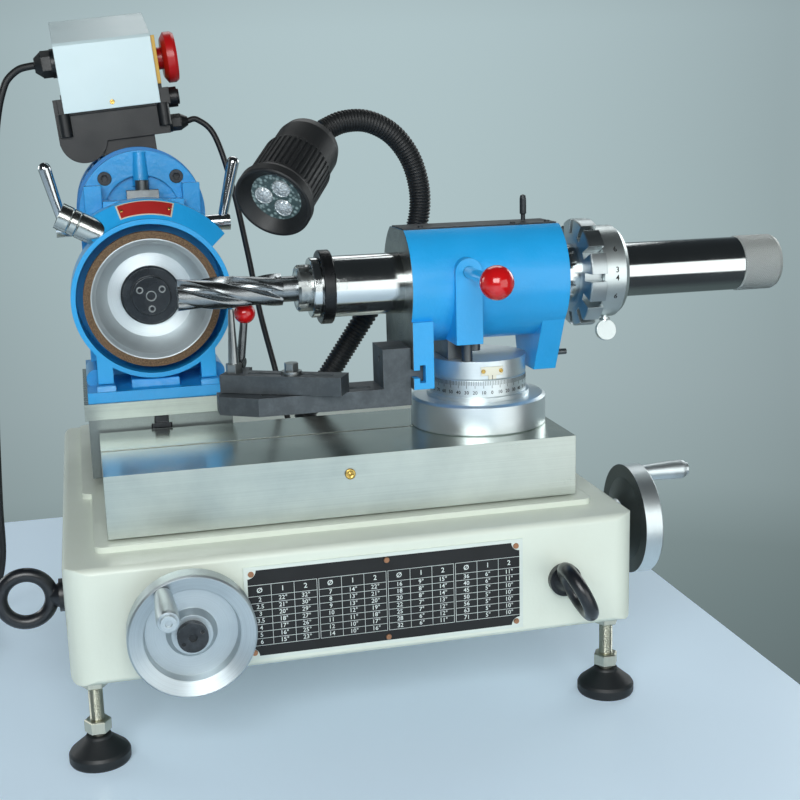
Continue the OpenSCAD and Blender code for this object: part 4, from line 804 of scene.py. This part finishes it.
def chart_numbers():
    """Cutter sizes and two angles for each, which fall smoothly with size."""
    sizes = (2, 2.5, 3, 3.5, 4, 5, 6, 7, 8, 9, 10, 11, 12, 14, 16, 18, 20, 22, 25, 28, 32,
             36, 40, 45, 50, 56, 63, 71)
    head_size, number_size, front = 6.0, 5.2, -1.48
    bm = bmesh.new()

    def cell(text, size, group, column, z):
        x = group_lefts[group] + (column + 0.5) * GROUP_WIDE / COLUMNS
        writing(bm, text, size, placed((x, front, z), FORWARD))

    for g in range(GROUPS):
        for c, mark in enumerate(("\u00d8", "1", "2")):
            cell(mark, head_size, g, c, RULES_HIGH - HEAD_ROW / 2)
        for r in range(ROWS):
            k = g * ROWS + r
            bend = (1 - k / (len(sizes) - 1)) ** 2
            values = (str(sizes[k]), f"{round(5 + 17 * bend)}\u00b0", f"{round(10 + 22 * bend)}\u00b0")
            for c, value in enumerate(values):
                cell(value, number_size, g, c, RULES_HIGH - HEAD_ROW - (r + 0.5) * ROW_HIGH)
    piece("chart_numbers", bm, "white_ink", "base")


# graduations and the pointer

DIAL_RADIUS, SCALE_RADIUS = 44, 42
INK_LIFT = 0.12


def dial_line(bm, angle, low, high):
    """Thin raised upright line on the dial ring."""
    inner, outer, half = DIAL_RADIUS - 0.15, DIAL_RADIUS + 0.08, 0.18
    out, side = round_z(angle)
    corners = ((inner, -half), (inner, half), (outer, half), (outer, -half))
    hexa(bm, [at(*(Vector((*DIAL, z)) + r * out + s * side)) for z in (low, high) for r, s in corners])


def dial_marks():
    """Lines every two degrees on the dial ring, longer at tens, and numbers from 0 at the front."""
    top, short, long, number_z, number_size = 277.8, 4, 6.5, 267.3, 4.4
    bm = bmesh.new()
    for k in range(180):
        dial_line(bm, -90 + 2 * k, top - (short if k % 5 else long), top)
    for k in range(36):
        out = round_z(-90 + 10 * k)[0]
        seat = Vector((*DIAL, number_z)) + (DIAL_RADIUS + INK_LIFT) * out
        writing(bm, str(10 * min(k, 36 - k)), number_size, placed(seat, out))
    piece("dial_marks", bm, "ink", "work_table")


def scale_marks():
    """Plain digits round the scale ring, three times over."""
    x, size, first = 258.5, 7.2, 172.5
    bm = bmesh.new()
    for k in range(3):
        for digit, turn in (("6", -26), ("3", 0), ("4", 10), ("6", 34)):
            a = math.radians(first + 120 * k + turn)
            out, down = Vector((0, math.cos(a), math.sin(a))), Vector((0, math.sin(a), -math.cos(a)))
            seat = Vector((x, *SPINDLE[1:])) + (SCALE_RADIUS + INK_LIFT) * out
            writing(bm, digit, size, placed(seat, out, up=down))
    piece("scale_marks", bm, "ink", "spindle_carrier")


def small_screw(bm, where, facing, r, h):
    """Cheese-head screw standing h proud of its seat, with a slot across the head."""
    sunk, floor, foot, taper = -0.4, 0.55, 0.5, 0.94
    slot, turn, steps = 0.22, 0.5, 10
    m = placed(where, facing)
    lathe(bm, [(0, sunk), (r, sunk), (r, h * floor), (0, h * floor)], m, 24)
    for side in (0, math.pi):
        angles = [slot + k * (math.pi - 2 * slot) / steps for k in range(steps + 1)]
        spun = Matrix.Rotation(side + turn, 3, "Z")
        rim = [spun @ Vector((r * math.cos(a), r * math.sin(a), 0)) for a in angles]
        low = [bm.verts.new(m @ (v + Vector((0, 0, h * foot)))) for v in rim]
        top = [bm.verts.new(m @ (v * taper + Vector((0, 0, h)))) for v in rim]
        loft(bm, (low, top))


def bent_plate(bm, r0, r1, half, z0, z1, steps):
    """Plate bent round the dial's axis at its front, half degrees to each side."""
    corners = ((r0, z0), (r1, z0), (r1, z1), (r0, z1))
    rows = []
    for k in range(steps + 1):
        out = round_z(-90 - half + 2 * half * k / steps)[0]
        rows.append([bm.verts.new(at(*(Vector((*DIAL, z)) + r * out))) for r, z in corners])
    loft(bm, rows)


def pointer():
    """Bent ivory plate with a tongue and its line, held by two screws."""
    inner, outer, tip, shoulder, top = 43.8, 45.2, 279.5, 283, 290.7
    plate_half, tongue_half, line_half = 13.2, 4.6, 0.3
    screw_z, screw_turn, screw_radius, screw_head = 286.9, 10.3, 1.9, 1.0
    bm = bmesh.new()
    bent_plate(bm, inner, outer, plate_half, shoulder, top, 12)
    bent_plate(bm, inner, outer, tongue_half, tip, shoulder + 0.2, 6)
    piece("pointer_plate", bm, "ivory", "workhead")
    bm = bmesh.new()
    for turn in (-screw_turn, screw_turn):
        out = round_z(-90 + turn)[0]
        small_screw(bm, Vector((*DIAL, screw_z)) + outer * out, out, screw_radius, screw_head)
    piece("pointer_screws", bm, "brass", "workhead")
    bm = bmesh.new()
    bent_plate(bm, outer - 0.1, outer + 0.1, line_half, tip, shoulder + 0.4, 1)
    piece("pointer_line", bm, "ink", "workhead")


# small trim


def on_strap(angle, share, lift):
    """Point on the guard's strap: angle round the wheel, share of the strap's width and height above it."""
    r0, y0, r1, y1 = 72.5, 228, 90.5, 241
    n = Vector((y1 - y0, r0 - r1)).normalized()
    r = r0 + (r1 - r0) * share + lift * n[0]
    y = y0 + (y1 - y0) * share + lift * n[1]
    a = math.radians(angle)
    return at(WHEEL[0] + r * math.cos(a), y, WHEEL[2] + r * math.sin(a))


def strap_patch(name, a0, a1, s0, s1, lift, mat):
    """Thin plate bent over the strap, between two angles and two shares of its width."""
    steps, seat = 16, 0.02
    corners = ((s0, seat), (s1, seat), (s1, lift), (s0, lift))
    bm = bmesh.new()
    loft(bm, [[bm.verts.new(on_strap(a0 + (a1 - a0) * k / steps, s, h)) for s, h in corners]
              for k in range(steps + 1)])
    piece(name, bm, mat, "wheel_guard")


def guard_tag():
    """Bare red plate on the sloping strap of the guard, with a pale edge and two pins."""
    middle, seat = 0.61, 0.5
    strap_patch("tag_edge", 73, 108, 0.24, 0.94, 0.35, "tag_cream")
    strap_patch("tag_face", 74, 107, 0.29, 0.89, 0.55, "tag_red")
    bm = bmesh.new()
    for a in (75.6, 105.4):
        foot = on_strap(a, middle, seat)
        m = placed((0, 0, 0), on_strap(a, middle, seat + 1) - foot)
        m.translation = foot
        lathe(bm, [(0, -0.2), (1.5, -0.2), (1.5, 0.5), (1, 0.9), (0, 1)], m, 16)
    piece("tag_pins", bm, "brass", "wheel_guard")


def oiler():
    """Brass ball oiler in the table's front."""
    bm = bmesh.new()
    lathe(bm, [(0, -1.8), (3.9, -1.8), (3.9, 0.2), (4.6, 0.4), (4.6, 1.2), (4.0, 1.6), (2.6, 1.6), (2.2, 0.9),
               (1.6, 0.9), (1.2, 1.4), (0.6, 1.7), (0, 1.8)], placed(OILER, FORWARD), 32)
    piece("table_oiler", bm, "brass", "work_table", True)


def led_lenses():
    """Three domed lenses in the seats of the lamp's mouth."""
    ball, way = (12, 211, 495), (-0.50, -0.70, -0.51)
    radius, first, reach = 11.5, -70, 99.5
    dome = [(0, 0.02), (8.3, 0.02), (8.4, 1.8), (7.8, 2.6), (7.1, 2.1), (5.9, 2.9), (4.0, 3.6),
            (2.0, 4.0), (0, 4.1)]
    mouth = placed(ball, way)
    bm = bmesh.new()
    for k in range(3):
        out = radius * round_z(120 * k + first)[0]
        lathe(bm, dome, mouth @ Matrix.Translation(out + Vector((0, 0, reach))), 32)
    piece("led_lenses", bm, "lens", "lamp", True, 50)


def box_screw():
    """One brass screw low on the rolled front of the switch box."""
    dx, dz, front = -10, 107, 337
    x = BOX[0] + dx * math.cos(BOX_ROLL) - dz * math.sin(BOX_ROLL)
    z = BOX[1] + dx * math.sin(BOX_ROLL) + dz * math.cos(BOX_ROLL)
    bm = bmesh.new()
    small_screw(bm, (x, front, z), FORWARD, 2.4, 1.2)
    piece("box_screw", bm, "brass", "wheelhead")


def fine_studs():
    """Foot studs with their threads, and nuts with chamfered faces, in place of the plain ones."""
    radius, core, pitch = 6, 5.15, 1.75
    foot, head = 23, 97
    nuts = ((25.5, 36.5), (65, 75))
    nut_radius, nut_face, chamfer = 10.97, 9.9, 0.9
    first, last = nuts[0][1], nuts[1][0]
    rod = [(0, foot), (radius, foot), (radius, first)]
    for k in range(int((last - first) / pitch)):
        z = first + k * pitch
        rod += [(core, z + 0.35), (core, z + 0.6), (radius, z + 1.2), (radius, z + 1.5)]
    rod += [(radius, last), (radius, head), (0, head)]
    bm = bmesh.new()
    for x in (-222, 222):
        for y in (26, 474):
            m = placed((x, y, 0), (0, 0, 1), (0, 1, 0))
            lathe(bm, rod, m, 20)
            for low, high in nuts:
                lathe(bm, [(0, low), (nut_face, low), (nut_radius, low + chamfer),
                           (nut_radius, high - chamfer), (nut_face, high), (0, high)], m, 6)
    o = piece("threaded_studs", bm, "zinc", "base")
    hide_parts("foot_studs")


def hub_rims():
    """Bright rims of the three cap screws in the wheel's hub and of its centre hole."""
    front, sunk, back, proud, reach = 245.4, 1.6, -0.3, 0.1, 12
    screw, hole = (2.1, 3.3), (4.0, 5.0)
    rims = [(0, 0, front + sunk, hole)]
    for k in range(3):
        a = k * math.tau / 3
        rims.append((reach * math.sin(a), -reach * math.cos(a), front, screw))
    bm = bmesh.new()
    for x, z, y, (inner, outer) in rims:
        m = placed((WHEEL[0] + x, y, WHEEL[2] + z), FORWARD)
        lathe(bm, [(inner, back), (outer, back), (outer, proud), (inner, proud), (inner, back)], m, 24)
    bmesh.ops.remove_doubles(bm, verts=bm.verts, dist=1e-6)
    piece("hub_rims", bm, "finger", "grinding_wheel")


# cutter

CUTTER_RADIUS, HEEL_RADIUS, CORE_RADIUS, FACE_RADIUS = 14, 12.6, 7.5, 8.5
LAND_END, HEEL, GULLET, FACE = 10, 42, 68, 84  # degrees from one cutting edge


def flute_radius(turn):
    """Radius of one quarter of the cutter: land, relief and gullet up to the next edge."""
    if turn < LAND_END:
        return CUTTER_RADIUS
    if turn < HEEL:
        return CUTTER_RADIUS - (CUTTER_RADIUS - HEEL_RADIUS) * (turn - LAND_END) / (HEEL - LAND_END)
    if turn < GULLET:
        fall_share = 0.5 + 0.5 * math.cos(math.pi * (turn - HEEL) / (GULLET - HEEL))
        return CORE_RADIUS + (HEEL_RADIUS - CORE_RADIUS) * fall_share
    if turn < FACE:
        return CORE_RADIUS + (FACE_RADIUS - CORE_RADIUS) * (turn - GULLET) / (FACE - GULLET)
    return FACE_RADIUS + (CUTTER_RADIUS - FACE_RADIUS) * (turn - FACE) / (90 - FACE)


def fine_cutter():
    """End mill with smooth helical flutes in place of the faceted one."""
    flute_start, flutes, twist, dish = -38.5, 90, 165, 1.5
    shank, shank_start, shank_end = 11.2, -39, -26
    run_out, run_out_fall = 14, 4.2
    steps = (0, 5, 10, 18, 26, 34, 42, 45.2, 48.5, 51.8, 55, 58.2, 61.5, 64.8, 68, 73, 78.5, 84, 86, 88)
    y, z = SPINDLE[1:]
    bm = bmesh.new()
    rings = []
    for h in range(flutes + 1):
        least = shank - run_out_fall * h / run_out if h < run_out else 0
        ring = []
        for quarter in range(4):
            for turn in steps:
                r = max(flute_radius(turn), least)
                a = math.radians(90 * quarter + turn + twist * h / flutes)
                ring.append(bm.verts.new(at(flute_start - h, y + r * math.sin(a), z + r * math.cos(a))))
        rings.append(ring)
    skin(bm, rings)
    bm.faces.new(rings[0])
    fan(bm, rings[-1], bm.verts.new(at(flute_start - flutes + dish, y, z)))
    lathe(bm, [(0, shank_start), (shank, shank_start), (shank, shank_end), (0, shank_end)],
          placed((0, y, z), (1, 0, 0)), 48)
    o = piece("fluted_cutter", bm, "cutter", "spindle", True, 38)
    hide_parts("end_mill")


for make in (mains, lamp_cable, neck, chart_field, chart_rules, chart_numbers, dial_marks, scale_marks,
             pointer, guard_tag, oiler, led_lenses, box_screw, fine_studs, hub_rims, fine_cutter):
    make()

# bench, background and light; lengths in metres in the row frame


def bench_top():
    """Pale laminate with a faint glow that only the camera and reflections see."""
    mat, tree, shader = start("bench_top")
    tone, glow = lin(212, 232, 248), 0.19
    shader["Base Color"].default_value = tone
    put(tree, shader["Roughness"], spread(tree, noise(tree, 6, 2), 0.2, 0.8, 0.29, 0.35))
    ray = add(tree, "ShaderNodeLightPath").outputs
    mirrored = calc(tree, "MAXIMUM", ray["Is Glossy Ray"], ray["Is Transmission Ray"])
    seen = calc(tree, "MAXIMUM", ray["Is Camera Ray"], mirrored)
    shader["Emission Color"].default_value = tone
    put(tree, shader["Emission Strength"], times(tree, seen, glow))
    return mat


def bench():
    """Bench with rounded edges."""
    left, right, front, back, thick, edge = -2.4, 0.328, -2.6, 0.494, 0.03, 0.003
    bm = bmesh.new()
    hexa(bm, [(x, y, z) for z in (-thick, 0.0)
              for x, y in ((left, front), (right, front), (right, back), (left, back))])
    bmesh.ops.bevel(bm, geom=bm.edges[:], offset=edge, segments=3, affect="EDGES")
    me = bpy.data.meshes.new("bench")
    bm.to_mesh(me)
    bm.free()
    me.shade_smooth()
    me.set_sharp_from_angle(angle=math.radians(40))
    me.materials.append(bench_top())
    o = bpy.data.objects.new("bench", me)
    scene.collection.objects.link(o)


bench()


def ramp_of(tree, value, stops):
    """Colour ramp from stops of a place and a screen colour."""
    ramp = add(tree, "ShaderNodeValToRGB", None, Fac=value)
    e = ramp.color_ramp.elements
    e[0].position, e[0].color = stops[0][0], lin(*stops[0][1])
    e[1].position, e[1].color = stops[-1][0], lin(*stops[-1][1])
    for place, color in stops[1:-1]:
        e.new(place).color = lin(*color)
    return ramp.outputs["Color"]


def sky():
    """Pale wall behind the bench, dim room in front of it and a dark ceiling."""
    brightest, falloff, dimmest = 0.2, 3.1, 0.72
    world = bpy.data.worlds.new("room")
    scene.world = world
    world.use_nodes = True
    tree = world.node_tree
    way = split(tree, add(tree, "ShaderNodeTexCoord").outputs["Generated"])
    up = mask(tree, way["Z"], -1.0, 1.0)
    wall = ramp_of(tree, up, (
        (0.25, (97, 110, 111)), (0.32, (124, 141, 142)), (0.34, (133, 150, 151)), (0.362, (155, 173, 175)),
        (0.396, (166, 184, 187)), (0.45, (174, 194, 197)), (0.53, (177, 197, 201)), (0.60, (150, 165, 168)),
        (0.67, (110, 120, 124)), (0.80, (60, 66, 70)), (1.0, (40, 44, 46))))
    room = ramp_of(tree, up, (
        (0.0, (60, 66, 70)), (0.4, (70, 76, 80)), (0.55, (64, 70, 74)), (0.7, (44, 48, 50)),
        (1.0, (40, 44, 46))))
    off = minus(tree, way["X"], brightest)
    fade = calc(tree, "MAXIMUM", minus(tree, 1.0, times(tree, times(tree, off, off), falloff)), dimmest)
    lit = add(tree, "ShaderNodeVectorMath", {"operation": "SCALE"}, i0=wall, Scale=fade).outputs[0]
    back = tree.nodes["Background"]
    put(tree, back.inputs["Color"], mix(tree, mask(tree, way["Y"], -0.35, 0.15), room, lit))
    back.inputs["Strength"].default_value = 1.0


sky()


def lamp(name, where, aim, size, power, color=(0.97, 1.0, 1.0)):
    """Rectangular light at a place, turned to a point."""
    data = bpy.data.lights.new(name, "AREA")
    data.shape = "RECTANGLE"
    data.size, data.size_y = size
    data.energy = power
    data.color = color
    o = bpy.data.objects.new(name, data)
    scene.collection.objects.link(o)
    o.location = where
    o.rotation_euler = (Vector(aim) - Vector(where)).to_track_quat("-Z", "Y").to_euler()


lamp("key", (-0.55, -1.75, 1.05), (0, 0, 0.25), (1.3, 0.9), 27)
lamp("panel", (0.98, -1.75, 0.33), (0.1, 0, 0.30), (1.7, 1.45), 13, (0.96, 1.0, 0.99))
lamp("back", (0.35, 1.35, 1.75), (0, 0, 0.2), (1.4, 1.0), 8)
lamp("back_right", (1.75, 1.0, 0.85), (0, 0, 0.25), (1.0, 0.8), 9)
lamp("back_left", (-1.7, 1.2, 0.85), (0, 0, 0.25), (1.0, 0.8), 8)

scene.view_settings.view_transform = "Standard"

bpy.context.view_layer.update()
